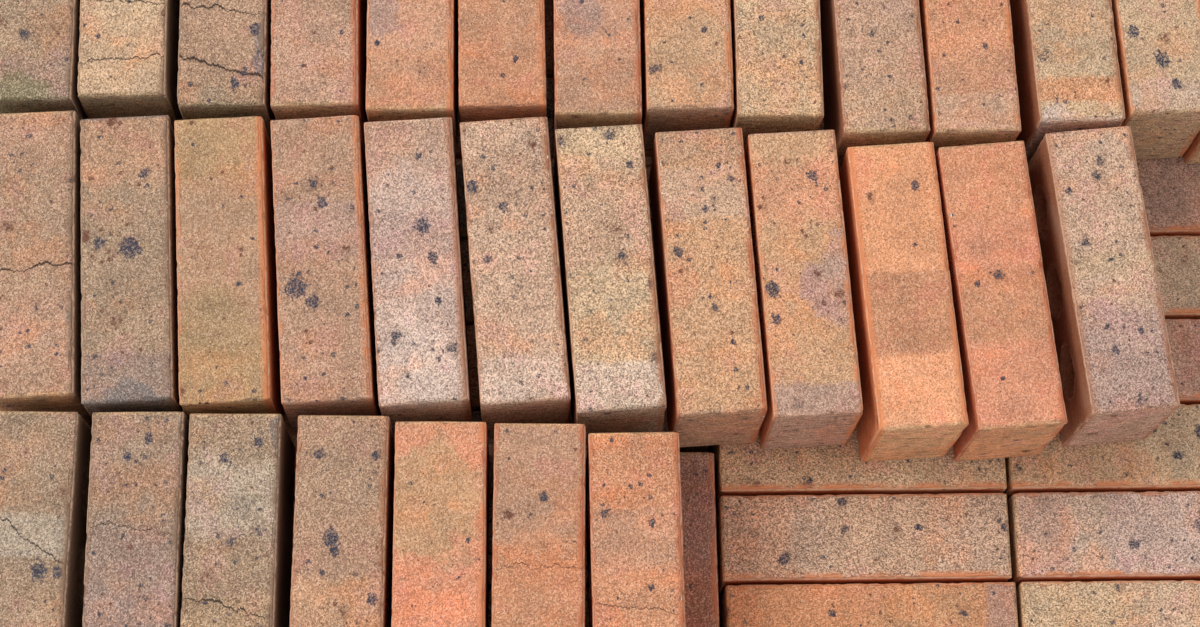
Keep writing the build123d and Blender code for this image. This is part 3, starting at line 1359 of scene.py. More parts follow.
@dataclass(frozen=True)
class LayingTree:
    """The node tree that lays forms on points, wears them and gives them their finishes."""

    name: str = "Lay and wear"
    chips_elsewhere: Triple = (5.0, 8.0, 2.0)
    chip_rim: float = 0.22

    def laid(self, graph: Graph, given: Outputs) -> Socket:
        """Lay the picked form at each point, turned about Z.

        Args:
            graph: the tree.
            given: the tree's inputs.

        Returns:
            The real geometry.
        """
        choice = {"Collection": given["Forms"], "Separate Children": True, "Reset Children": True}
        angles = graph.joined(0.0, 0.0, graph.named("turn", "FLOAT"))
        inputs = {
            "Points": given["Geometry"],
            "Instance": graph.first("GeometryNodeCollectionInfo", choice),
            "Pick Instance": True,
            "Instance Index": graph.named("form", "INT"),
            "Rotation": graph.first("FunctionNodeEulerToRotation", {0: angles}),
        }
        laid = graph.first("GeometryNodeInstanceOnPoints", inputs)
        return graph.first("GeometryNodeRealizeInstances", {0: laid})

    def worn(self, graph: Graph, given: Outputs, real: Socket) -> Socket:
        """Dent the faces and chip the arrises, always inward.

        Args:
            graph: the tree.
            given: the tree's inputs.
            real: the geometry to wear.

        Returns:
            The worn geometry.
        """
        point = graph.vector("ADD", graph.named("lay", "FLOAT_VECTOR"), graph.named("shift", "FLOAT_VECTOR"))
        wave = graph.noise(point, graph.over(1.0, given["Undulation Size"]), 3.0, 0.55)
        dent = graph.times(wave, given["Undulation Depth"])
        far = graph.vector("ADD", point, self.chips_elsewhere)
        chip = graph.noise(far, graph.over(1.0, given["Chip Size"]), 2.5, 0.6)
        low = graph.less(1.0, given["Chip Share"])
        high = graph.less(1.0 + self.chip_rim, given["Chip Share"])
        fade = graph.fall(graph.named("edge", "FLOAT"), 0.0, given["Chip Reach"])
        bite = graph.times(graph.times(graph.ease(chip, low, high), fade), given["Chip Depth"])
        inward = graph.plus(dent, bite)
        normal = graph.first("GeometryNodeInputNormal")
        offset = graph.scaled(normal, graph.times(inward, -1.0))
        return graph.first("GeometryNodeSetPosition", {"Geometry": real, "Offset": offset})

    def tree(self) -> bpy.types.NodeTree:
        """Build the tree at its first use.

        Returns:
            The tree, which ends in real geometry with its finishes.
        """
        known = bpy.data.node_groups.get(self.name)
        if known:
            return known
        sizes = [(label, FLOAT, value) for label, value in Wear().inputs().items()]
        finishes = [(label, "NodeSocketMaterial", None) for label in ("Skin Finish", "Cut Finish")]
        graph = started(self.name, [("Forms", "NodeSocketCollection", None), *sizes, *finishes])
        given = graph.node("NodeGroupInput").outputs
        moved = self.worn(graph, given, self.laid(graph, given))
        made = graph.first("GeometryNodeSetShadeSmooth", {0: moved})
        skin = {"Geometry": made, "Material": given["Skin Finish"]}
        made = graph.first("GeometryNodeSetMaterial", skin)
        cut = {"Geometry": made, "Selection": graph.named("cut", "BOOLEAN"), "Material": given["Cut Finish"]}
        made = graph.first("GeometryNodeSetMaterial", cut)
        graph.node("NodeGroupOutput", {0: made})
        return graph.tree


Columns = dict[str, tuple[str, list]]


def linked(name: str, data: bpy.types.ID) -> bpy.types.Object:
    """Make an object and link it to the scene.

    Args:
        name: the object's name.
        data: its mesh, light or camera.

    Returns:
        The object.
    """
    made = bpy.data.objects.new(name, data)
    bpy.context.scene.collection.objects.link(made)
    return made


def points_object(name: str, places: Sequence[Triple], columns: Columns) -> bpy.types.Object:
    """An object of loose points for a laying tree.

    Args:
        name: the object's name.
        places: the points.
        columns: for each attribute its type and its values, one for each point.

    Returns:
        The object, linked to the scene.
    """
    mesh = bpy.data.meshes.new(name)
    mesh.from_pydata([tuple(p) for p in places], [], [])
    for label, (kind, values) in columns.items():
        made = mesh.attributes.new(label, kind, "POINT")
        slot = {"FLOAT_VECTOR": "vector", "FLOAT_COLOR": "color"}.get(kind, "value")
        made.data.foreach_set(slot, np.array(values, int if kind == "INT" else float).ravel())
    return linked(name, mesh)


def grown(points: bpy.types.Object, tree: bpy.types.NodeTree, inputs: dict[str, object]) -> bpy.types.Object:
    """Run a tree on a set of points and keep what it makes as a plain mesh.

    Args:
        points: the object that holds the points. It is removed.
        tree: the node tree.
        inputs: a value for each of the tree's named inputs.

    Returns:
        A new object of the same name, at the origin.
    """
    name = points.name
    modifier = points.modifiers.new("grow", "NODES")
    modifier.node_group = tree
    for item in tree.interface.items_tree:
        if item.item_type == "SOCKET" and item.in_out == "INPUT" and item.name in inputs:
            modifier[item.identifier] = inputs[item.name]
    points.update_tag()
    graph = bpy.context.evaluated_depsgraph_get()
    evaluated = points.evaluated_get(graph)
    mesh = bpy.data.meshes.new_from_object(evaluated, preserve_all_data_layers=True, depsgraph=graph)
    bpy.data.objects.remove(points)
    mesh.name = name
    return linked(name, mesh)


@dataclass
class Forms:
    """A collection of the shapes that a laying tree picks from, in order."""

    name: str
    meshes: list[bpy.types.Mesh]

    def gather(self) -> bpy.types.Collection:
        """Link the shapes to the scene while the trees run.

        Returns:
            Their collection.
        """
        made = bpy.data.collections.new(self.name)
        bpy.context.scene.collection.children.link(made)
        for number, mesh in enumerate(self.meshes):
            made.objects.link(bpy.data.objects.new(f"{self.name} {number:02d}", mesh))
        return made


def disperse(collection: bpy.types.Collection) -> None:
    """Remove a collection of shapes once the trees have run.

    Args:
        collection: the shapes' collection.
    """
    for piece in list(collection.objects):
        bpy.data.objects.remove(piece)
    bpy.data.collections.remove(collection)


@dataclass(frozen=True)
class Look:
    """How one brick is coloured and marked. Places and sizes on it are in millimetres.

    A patch and a band give their middle along the brick, their half length and their strength,
    an arc and a spot their place along and across the top and their radius, and a crack its place
    along the brick, its slope and its strength. The freckles are the share of iron spots that show,
    the grain its contrast, and the roll how much clay shows on the right arris, or the left if below 0.
    """

    tone: Tone = Tone.BUFF
    patch_tone: Tone = Tone.BUFF
    patch: Triple = NONE
    band_tone: Tone = Tone.BUFF
    band: Triple = NONE
    arc_tone: Tone = Tone.BUFF
    arc: Triple = NONE
    spots: tuple[Triple, ...] = ()
    cracks: tuple[Triple, ...] = ()
    clay: Tone = Tone.CLAY_ORANGE
    head: Tone = Tone.HEADER
    freckles: float = 0.6
    grain: float = 0.5
    roll: float = 0.0

    def mark(self, kind: str, number: int) -> Triple:
        """One of its spots or cracks, by the field's name and from 0, or none where it has fewer."""
        marks = getattr(self, kind)
        return marks[number] if number < len(marks) else NONE


def metres(values: Triple, scales: Triple) -> Triple:
    """The three values of a mark, taken from millimetres to metres where they are lengths."""
    return tuple(value * scale for value, scale in zip(values, scales))


ROUND: Triple = (0.001, 0.001, 0.001)
ZONE: Triple = (0.001, 0.001, 1.0)
LINE: Triple = (0.001, 1.0, 1.0)
T = Tone
FRONT_ROW = (
    Look(T.DRAB, T.GREY_BROWN, (-80, 40, 0.6), T.GREIGE, (18, 16, 0.8),
         spots=((-6, -12, 6), (-7, -25, 4)), cracks=((18, 0.7, 1.3),), clay=T.CLAY_GREY, freckles=0.7,
         grain=0.47),
    Look(T.MAUVE_GREY, T.DRAB, (75, 50, 0.7), T.DUSK, (-40, 20, 0.5), spots=((87, -8, 3.5), (75, 6, 3.5)),
         cracks=((24, 0.15, 0.7),), clay=T.CLAY_GREY, freckles=0.8, grain=0.47, roll=-0.25),
    Look(T.DRAB, T.GREIGE, (48, 26, 0.7), T.OLIVE_BUFF, (-50, 26, 0.4), T.SOOT, (92, -36, 14),
         spots=((86, -17, 3.5), (75, 7, 3.5)), cracks=((-29, 0.25, 1.5),), clay=T.CLAY_GREY, freckles=0.7,
         grain=0.54),
    Look(T.TAN, T.DRAB, (60, 34, 0.5), T.ORANGE_BUFF, (-34, 26, 0.5),
         spots=((19, 6, 6.5), (10, 3, 4), (-23, -24, 4)), clay=T.CLAY_BROWN, freckles=0.9, grain=0.46,
         roll=0.2),
    Look(T.CORAL, T.TERRACOTTA, (104, 12, 0.5), arc_tone=T.OLIVE_BUFF, arc=(50, 10, 42), freckles=0.12,
         grain=0.37),
    Look(T.TERRACOTTA, T.TAN, (70, 50, 0.75), T.SALMON, (-40, 30, 0.5), spots=((54, -3, 3.5),),
         cracks=((5, 0.02, 0.5),), clay=T.CLAY_RED, freckles=0.2, grain=0.36),
    Look(T.TERRACOTTA, T.SALMON, (-50, 60, 0.6), T.PINK_TAN, (30, 22, 0.4),
         spots=((-3, -9, 2.5), (42, -11, 2.5)), cracks=((-18, 0.1, 0.5),), clay=T.CLAY_RED, freckles=0.45,
         grain=0.41, roll=0.5),
)
SECOND_ROW = (
    Look(T.TAN, T.DRAB, (20, 50, 0.6), T.PINK_TAN, (-60, 22, 0.4), T.SOOT, (-50, -38, 14),
         cracks=((-12, -0.04, 1.6), (40, 0.6, 0.3)), clay=T.CLAY_GREY, freckles=0.6, grain=0.45),
    # This brick's near end and near header are tinted dark grey.
    Look(T.DRAB, T.SALMON, (85, 30, 0.3), T.MAUVE_GREY, (-94, 22, 0.9), T.SOOT, (-114, -4, 24),
         spots=((6, -3, 8), (11, 19, 5), (62, -14, 4)), clay=T.CLAY_GREY, head=T.SOOT, freckles=1.0,
         grain=0.45),
    Look(T.OCHRE, T.TAN, (0, 60, 0.7), arc_tone=T.OLIVE, arc=(-52, 6, 28), freckles=0.5, grain=0.34,
         roll=0.9),
    Look(T.TAN, T.PINK_TAN, (-75, 36, 0.3), T.DUSK, (20, 22, 0.5),
         spots=((-22, 18, 8), (-34, 7, 5), (40, -3, 4)), head=T.PINK_TAN, freckles=0.8, grain=0.42,
         roll=0.4),
    Look(T.MAUVE_CREAM, T.TAN, (96, 26, 0.7), T.DUSK, (18, 17, 0.6), T.PALE_CREAM, (-88, 8, 42),
         spots=((24, -6, 6), (0, -12, 4), (-33, -14, 3)), clay=T.CLAY_BROWN, head=T.CREAM, freckles=0.7,
         grain=0.52, roll=0.7),
    Look(T.PINK_BUFF, T.TAN, (56, 26, 0.5), T.PALE_CREAM, (-96, 22, 0.5),
         spots=((56, 27, 5.5), (39, 5, 4), (0, 20, 3)), clay=T.CLAY_BROWN, head=T.TAN, freckles=0.85,
         grain=0.58),
    Look(T.PALE_BUFF, T.PINK_TAN, (36, 36, 0.6), T.PALE_CREAM, (-96, 24, 0.6), T.ORANGE_BUFF,
         (-50, 14, 16), spots=((75, -20, 3), (-16, -28, 3)), clay=T.CLAY_BROWN, head=T.STONE,
         freckles=0.55, grain=0.62),
    Look(T.ORANGE_BUFF, T.TAN, (98, 20, 0.7), T.PINK_BUFF, (58, 20, 0.8), T.SALMON, (-12, 24, 20),
         spots=((78, -12, 2.5), (45, 0, 3), (-56, -12, 2.5)), clay=T.CLAY_RED, head=T.TAN, freckles=1.0),
    Look(T.ORANGE_BUFF, T.CORAL, (60, 24, 0.6), T.DUSK, (-98, 14, 0.7), T.DUSK, (-12, -38, 40),
         spots=((-13, 25, 6), (-36, 24, 3.5), (71, -12, 4)), head=T.PINK_TAN, freckles=0.75, grain=0.44),
    Look(T.BRIGHT_ORANGE, T.ORANGE, (60, 50, 0.6), T.DULL_ORANGE, (-22, 31, 0.95),
         spots=((73, -14, 3.5),), freckles=0.1, grain=0.34, roll=-0.85),
    Look(T.CORAL, T.ORANGE, (76, 30, 0.5), T.DULL_ORANGE, (-17, 27, 0.95), spots=((0, 18, 2.5),),
         clay=T.CLAY_RED, freckles=0.2, grain=0.32),
    Look(T.PINK_BUFF, T.DUSK, (-70, 40, 0.85), T.PALE_BUFF, (2, 9, 0.6),
         spots=((-62, 8, 3), (-50, -12, 2.5), (60, 22, 3)), clay=T.CLAY_BROWN, head=T.PINK_TAN,
         freckles=0.8, grain=0.55, roll=-0.45),
)
THIRD_ROW = (
    # The near headers of this brick and of the third are tinted dark olive.
    Look(T.DRAB, T.MAUVE_GREY, (-95, 20, 0.7), arc_tone=T.MOSS, arc=(-114, 6, 26),
         cracks=((-60, 0.8, 0.3),), clay=T.CLAY_GREY, head=T.CRUST, freckles=0.6),
    Look(T.PALE_BUFF, T.BUFF, (-80, 30, 0.5), T.BUFF, (-55, 14, 0.4), spots=((-60, 18, 2.5),),
         cracks=((-78, -0.05, 1.1), (-32, 0.05, 1.3)), clay=T.CLAY_GREY, head=T.OLIVE, freckles=0.5),
    Look(T.DRAB, T.TAN, (-50, 40, 0.6), arc_tone=T.SOOT, arc=(-56, -38, 18),
         spots=((-47, -24, 5), (-90, -10, 4)), cracks=((-77, 0.28, 2.4), (-31, 0.1, 1.6)),
         clay=T.CLAY_GREY, head=T.CRUST, freckles=0.6),
    Look(T.TAN, T.PINK_TAN, (-70, 40, 0.6), spots=((-50, -20, 2),), clay=T.CLAY_RED, freckles=0.4,
         grain=0.46, roll=0.7),
    Look(T.SALMON, T.TAN, (-90, 30, 0.6), T.PINK_TAN, (-40, 20, 0.5), T.MAUVE, (-30, 26, 20),
         spots=((-55, 24, 2.5),), freckles=0.2, grain=0.36),
    Look(T.TERRACOTTA, T.TAN, (-60, 50, 0.4), T.TERRACOTTA, (-84, 20, 0.5), spots=((-70, -10, 2.5),),
         head=T.TERRACOTTA, freckles=0.15, grain=0.34),
    Look(T.SALMON, T.PINK_TAN, (-40, 36, 0.6), T.TAN, (-84, 30, 0.7), T.MAUVE, (-30, 10, 18),
         clay=T.CLAY_RED, freckles=0.3, grain=0.38),
    Look(T.ORANGE_BUFF, T.BUFF, (-90, 26, 0.7), T.BUFF, (-50, 16, 0.4), spots=((-45, -12, 2.5),),
         head=T.TAN, freckles=0.45, grain=0.44),
    Look(T.PALE_BUFF, T.ORANGE_BUFF, (-80, 30, 0.4), T.BUFF, (-40, 16, 0.4),
         spots=((-30, 12, 2.5), (-65, -16, 2)), clay=T.CLAY_BROWN, freckles=0.7, grain=0.58),
    Look(T.PINK_TAN, T.BUFF, (-50, 40, 0.4), T.BUFF, (-92, 20, 0.6), spots=((-30, 6, 2.5),),
         clay=T.CLAY_BROWN, freckles=0.5),
    Look(T.SALMON, T.TAN, (-80, 30, 0.5), T.CREAM, (-94, 16, 0.4), spots=((-40, -10, 2.5),),
         freckles=0.35, grain=0.42),
    Look(T.PALE_BUFF, T.STONE, (-30, 30, 0.4), T.ORANGE, (-82, 10, 0.8), T.PALE_CREAM, (-108, 22, 16),
         clay=T.CLAY_BROWN, head=T.PALE_CREAM, freckles=0.5),
    Look(T.PALE_BUFF, T.BUFF, (-60, 14, 0.5), T.MAUVE_CREAM, (-94, 12, 0.5),
         spots=((-65, 4, 6), (-42, 23, 5), (-85, -4, 4)), head=T.OLIVE_BUFF, freckles=0.7),
    Look(T.ORANGE_BUFF, T.BUFF, (-60, 40, 0.5)),
)
# The bared bricks of the third course keep their own colours, made a little lighter as painted light for the
# brighter fill that reaches them under the top course.
BARED_THIRD_COLUMN = (
    Look(T.BUFF),
    Look(T.ORANGE, T.OLIVE_BUFF, (40, 40, 0.4), T.MAUVE, (98, 14, 0.7),
         spots=((-30, 10, 3), (40, -12, 3)), grain=0.42),
    Look(T.PINK_BUFF, T.SALMON, (-80, 30, 0.4), T.BUFF, (10, 40, 0.4), spots=((-61, -16, 5), (40, 6, 3)),
         grain=0.66),
    Look(T.PALE_BUFF, T.ORANGE_BUFF, (-60, 60, 0.6), T.BUFF, (-70, 20, 0.4), grain=0.6),
)
BARED_FOURTH_COLUMN = (
    Look(T.BUFF),
    Look(T.PALE_BUFF, T.CREAM, (20, 50, 0.5), grain=0.6),
    Look(T.MAUVE_CREAM, T.PINK_TAN, (-90, 30, 0.6), T.CREAM, (-52, 14, 0.7),
         spots=((30, 6, 5), (-20, -8, 4), (70, 0, 3)), grain=0.6),
    Look(T.PALE_BUFF, T.ORANGE_BUFF, (-60, 50, 0.5), spots=((40, 10, 6), (20, -8, 4), (-10, 12, 3))),
    Look(T.DUSK, T.SALMON, (30, 60, 0.4), spots=((-45, 0, 4),)),
    Look(T.PALE_BUFF, T.CREAM, (30, 60, 0.5), spots=((-60, 8, 4),)),
    Look(T.PINK_TAN, T.MAUVE, (0, 60, 0.4)),
)
STRIP_FRONT = Look(T.BROWN_RED, T.MAUVE, (60, 50, 0.4), spots=((20, 6, 3),), clay=T.CLAY_RED)
MULTI = (
    T.STONE, T.BUFF, T.PALE_BUFF, T.OLIVE_BUFF, T.GREY_BROWN, T.CREAM, T.MAUVE_CREAM, T.MAUVE, T.PINK_TAN,
    T.SALMON, T.ORANGE, T.BRIGHT_ORANGE, T.ORANGE_BUFF, T.ORANGE_BUFF, T.SALMON, T.BUFF,
)
CLAYS = (T.CLAY_ORANGE, T.CLAY_ORANGE, T.CLAY_RED, T.CLAY_BROWN)
HEADS = (T.HEADER, T.OLIVE_BUFF, T.TAN, T.PINK_TAN, T.ORANGE_BUFF, T.BUFF)
CRACKED_SHARE = 0.22


def mixed_look(draw: np.random.Generator) -> Look:
    """Draw a look for a brick that isn't in the picture, as if from the same firing.

    Args:
        draw: the pack's random numbers.

    Returns:
        The look.
    """
    between = draw.uniform
    count = draw.integers(0, len(SPOTS) + 1)
    spots = tuple((between(-95, 95), between(-26, 26), between(2, 5.5)) for _ in range(count))
    cracked = draw.random() < CRACKED_SHARE
    cracks = ((between(-80, 80), between(-0.4, 0.4), between(0.3, 1.0)),) if cracked else ()
    tones = [MULTI[n] for n in draw.integers(0, len(MULTI), 3)]
    patch = (draw.choice((-1, 1)) * between(20, 100), between(20, 60), between(0.3, 0.75))
    band = (between(-80, 80), between(10, 32), between(0.0, 0.7))
    arc = (between(-80, 80), between(-40, 40), draw.choice((0.0, 0.0, 30.0, 44.0)))
    clay = CLAYS[draw.integers(0, len(CLAYS))]
    heads = (*HEADS, tones[0])
    head = heads[draw.integers(0, len(heads))]
    freckles, grain = between(0.15, 0.95), between(0.34, 0.58)
    return Look(
        tones[0], tones[1], patch, tones[2], band, tones[1], arc, spots, cracks, clay, head, freckles, grain
    )


@dataclass
class LaidBrick:
    """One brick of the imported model: its middle, its turn about Z, and whether it is bored or hidden."""

    middle: Triple
    turn: float
    bored: bool
    hidden: bool
    look: Look = Look()
    fineness: Fineness = Fineness.OUTER


@dataclass(frozen=True)
class BrickReader:
    """Reads each brick of a course from the course's mesh."""

    plain_corners: int = 8
    cut_corners: int = 16
    places: int = 5

    def read(self, node: bpy.types.Object) -> list[LaidBrick]:
        """The bricks of one course, in rows from the front and from left to right.

        Args:
            node: the course's object.

        Returns:
            The bricks.
        """
        mesh = node.data
        loose = np.empty(len(mesh.vertices) * 3)
        mesh.vertices.foreach_get("co", loose)
        rounded = np.round(loose.reshape(-1, 3), self.places)
        corners, place = np.unique(rounded, axis=0, return_inverse=True)
        ends = np.empty(len(mesh.edges) * 2, int)
        mesh.edges.foreach_get("vertices", ends)
        owner = self.owners(len(corners), place.ravel()[ends.reshape(-1, 2)].T)
        bricks = [self.one(corners[owner == first]) for first in np.unique(owner)]
        return sorted(bricks, key=lambda brick: (round(brick.middle[1], 2), brick.middle[0]))

    def owners(self, count: int, edges: np.ndarray) -> np.ndarray:
        """Find which corners belong together.

        Args:
            count: the number of corners.
            edges: the corners at the one end and at the other end of each edge.

        Returns:
            For each corner the lowest corner that edges join it to.
        """
        owner = np.arange(count)
        while True:
            before = owner.copy()
            lowest = np.minimum(*owner[edges])
            for end in edges:
                np.minimum.at(owner, end, lowest)
            owner = owner[owner]
            if (owner == before).all():
                return owner

    def one(self, corners: np.ndarray) -> LaidBrick:
        """Make out one brick.

        Args:
            corners: its own corners.

        Returns:
            The brick.
        """
        middle = (corners.min(0) + corners.max(0)) / 2
        flat = corners[:, :2] - middle[:2]
        spread = flat.T @ flat
        turn = 0.5 * math.atan2(2 * spread[0, 1], spread[0, 0] - spread[1, 1])
        if turn < -math.radians(45):
            turn += math.pi
        count = len(corners)
        return LaidBrick(tuple(middle), turn, count > self.cut_corners, count <= self.plain_corners)


@dataclass(frozen=True)
class BrickPack:
    """The four courses of bricks on the pallet."""

    form: BrickForm = BrickForm()
    reader: BrickReader = BrickReader()
    wear: Wear = Wear()
    seed: int = 41
    row_pitch: float = 0.218
    rows: tuple[str, ...] = ("front", "second", "third", "back")
    column_pitch: float = 0.067
    column_middle: int = 6
    fourth_column_from: float = 0.25
    bared_front: float = 0.05
    bared_left: float = 0.02
    bared_strip: float = -0.25

    def courses(self) -> dict[str, list[LaidBrick]]:
        """Sort all the bricks into the pieces that show them.

        Returns:
            The bricks of each piece by its name.
        """
        pieces: dict[str, list[LaidBrick]] = {}
        for number in (1, 2, 3):
            for brick in self.reader.read(bpy.data.objects[f"course_{number}"]):
                if number == 3 and self.is_bared(brick):
                    brick.fineness = Fineness.FINE
                    side = "bared"
                elif brick.hidden:
                    brick.fineness = Fineness.HIDDEN
                    side = "inner"
                else:
                    side = "front" if brick.middle[1] < 0 else "back"
                pieces.setdefault(f"course_{number}_{side}_bricks", []).append(brick)
        last = len(self.rows) - 1
        rows: list[list[LaidBrick]] = [[] for _ in self.rows]
        for brick in self.reader.read(bpy.data.objects["course_4"]):
            brick.fineness = Fineness.FINE
            row = round(brick.middle[1] / self.row_pitch + last / 2)
            rows[min(last, max(0, row))].append(brick)
        for name, row in zip(self.rows, rows):
            pieces[f"top_course_{name}_row"] = sorted(row, key=lambda brick: brick.middle[0])
        return pieces

    def is_bared(self, brick: LaidBrick) -> bool:
        """Tell whether a brick of the third course shows where the top course is taken away.

        Args:
            brick: the brick.

        Returns:
            Whether it shows.
        """
        x, y, _ = brick.middle
        column = x > self.bared_left and y < self.bared_front
        return column or (abs(x) < self.bared_left and y < self.bared_strip)

    def dress(self, pieces: dict[str, list[LaidBrick]]) -> None:
        """Give each brick its look: its own where the picture shows it, else a mixed one.

        Args:
            pieces: the bricks of each piece.
        """
        draw = np.random.default_rng(self.seed)
        for name in sorted(pieces):
            for brick in pieces[name]:
                brick.look = mixed_look(draw)
        for name, looks in zip(self.rows, (FRONT_ROW, SECOND_ROW, THIRD_ROW)):
            for brick, look in zip(pieces[f"top_course_{name}_row"], looks):
                brick.look = look
        for brick in pieces["course_3_bared_bricks"]:
            x, y, _ = brick.middle
            number = round(y / self.column_pitch) + self.column_middle
            column = BARED_THIRD_COLUMN if x < self.fourth_column_from else BARED_FOURTH_COLUMN
            if x < self.bared_left:
                brick.look = STRIP_FRONT
            elif 0 <= number < len(column):
                brick.look = column[number]

    def columns(self, bricks: list[LaidBrick], first: int) -> Columns:
        """The attributes that carry each brick's place and look to the laying tree.

        Args:
            bricks: the bricks of one piece.
            first: the number of the first brick, which seeds its patterns.

        Returns:
            For each attribute its type and its values.
        """
        looks = [brick.look for brick in bricks]
        draws = [np.random.default_rng(self.seed + first + n) for n in range(len(bricks))]
        kinds = list(Fineness)
        made: Columns = {
            "turn": ("FLOAT", [b.turn for b in bricks]),
            "form": ("INT", [2 * kinds.index(b.fineness) + (b.bored and not b.hidden) for b in bricks]),
            "shift": ("FLOAT_VECTOR", [draw.uniform(0, 40, 3) for draw in draws]),
            "habit": ("FLOAT_VECTOR", [(look.freckles, look.grain, look.roll) for look in looks]),
        }
        for label in ("tone", "patch_tone", "band_tone", "arc_tone", "head", "clay"):
            made[label] = ("FLOAT_COLOR", [linear(getattr(look, label).value) for look in looks])
        for label, scales in (("patch", ZONE), ("band", ZONE), ("arc", ROUND)):
            made[label] = ("FLOAT_VECTOR", [metres(getattr(look, label), scales) for look in looks])
        for labels, part, scales in ((SPOTS, "spots", ROUND), (CRACKS, "cracks", LINE)):
            for number, label in enumerate(labels):
                marks = [metres(look.mark(part, number), scales) for look in looks]
                made[label] = ("FLOAT_VECTOR", marks)
        return made

    def build(self) -> None:
        """Lay every brick, one piece at a time."""
        pieces = self.courses()
        self.dress(pieces)
        shapes = [self.form.shape(fineness, bored) for fineness in Fineness for bored in (False, True)]
        forms = Forms("brick form", shapes).gather()
        tree = LayingTree().tree()
        finishes = {"Skin Finish": SandedFace().material(), "Cut Finish": WireCutFace().material()}
        first = 0
        for name, bricks in pieces.items():
            points = points_object(name, [b.middle for b in bricks], self.columns(bricks, first))
            first += len(bricks)
            piece = grown(points, tree, {"Forms": forms, **self.wear.inputs(), **finishes})
            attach(piece, "root")
            course = "course_4" if name.startswith("top") else name[:8]
            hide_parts(course)
            LOG.info("%s: %d bricks, %d faces", name, len(bricks), len(piece.data.polygons))
        disperse(forms)


@dataclass(frozen=True)
class Timber:
    """A kind of sawn piece of the pallet: how its arrises are eased and which nodes it stands for."""

    node_name: str
    count: int
    corner: float
    square: bool = False
    along_y: bool = False
    upright_corners: bool = False
    pitch: float = 0.016
    cross_pitches: Pair = (0.016, 0.012)
    near: tuple[float, ...] = (0.0, 0.0012, 0.0035, 0.008)

    def skin(self, sizes: Triple) -> Skin:
        """The skin of one piece of this timber, its grain along X.

        Args:
            sizes: the piece's length, width and height.

        Returns:
            The skin.
        """
        pitches = (self.pitch, *self.cross_pitches)
        lines = tuple(loops(size / 2, self.near, pitch) for size, pitch in zip(sizes, pitches))
        axes = (0, 1) if self.upright_corners else (1, 2)
        return Skin(lines, 0, self.corner, axes, square_corner=self.square)


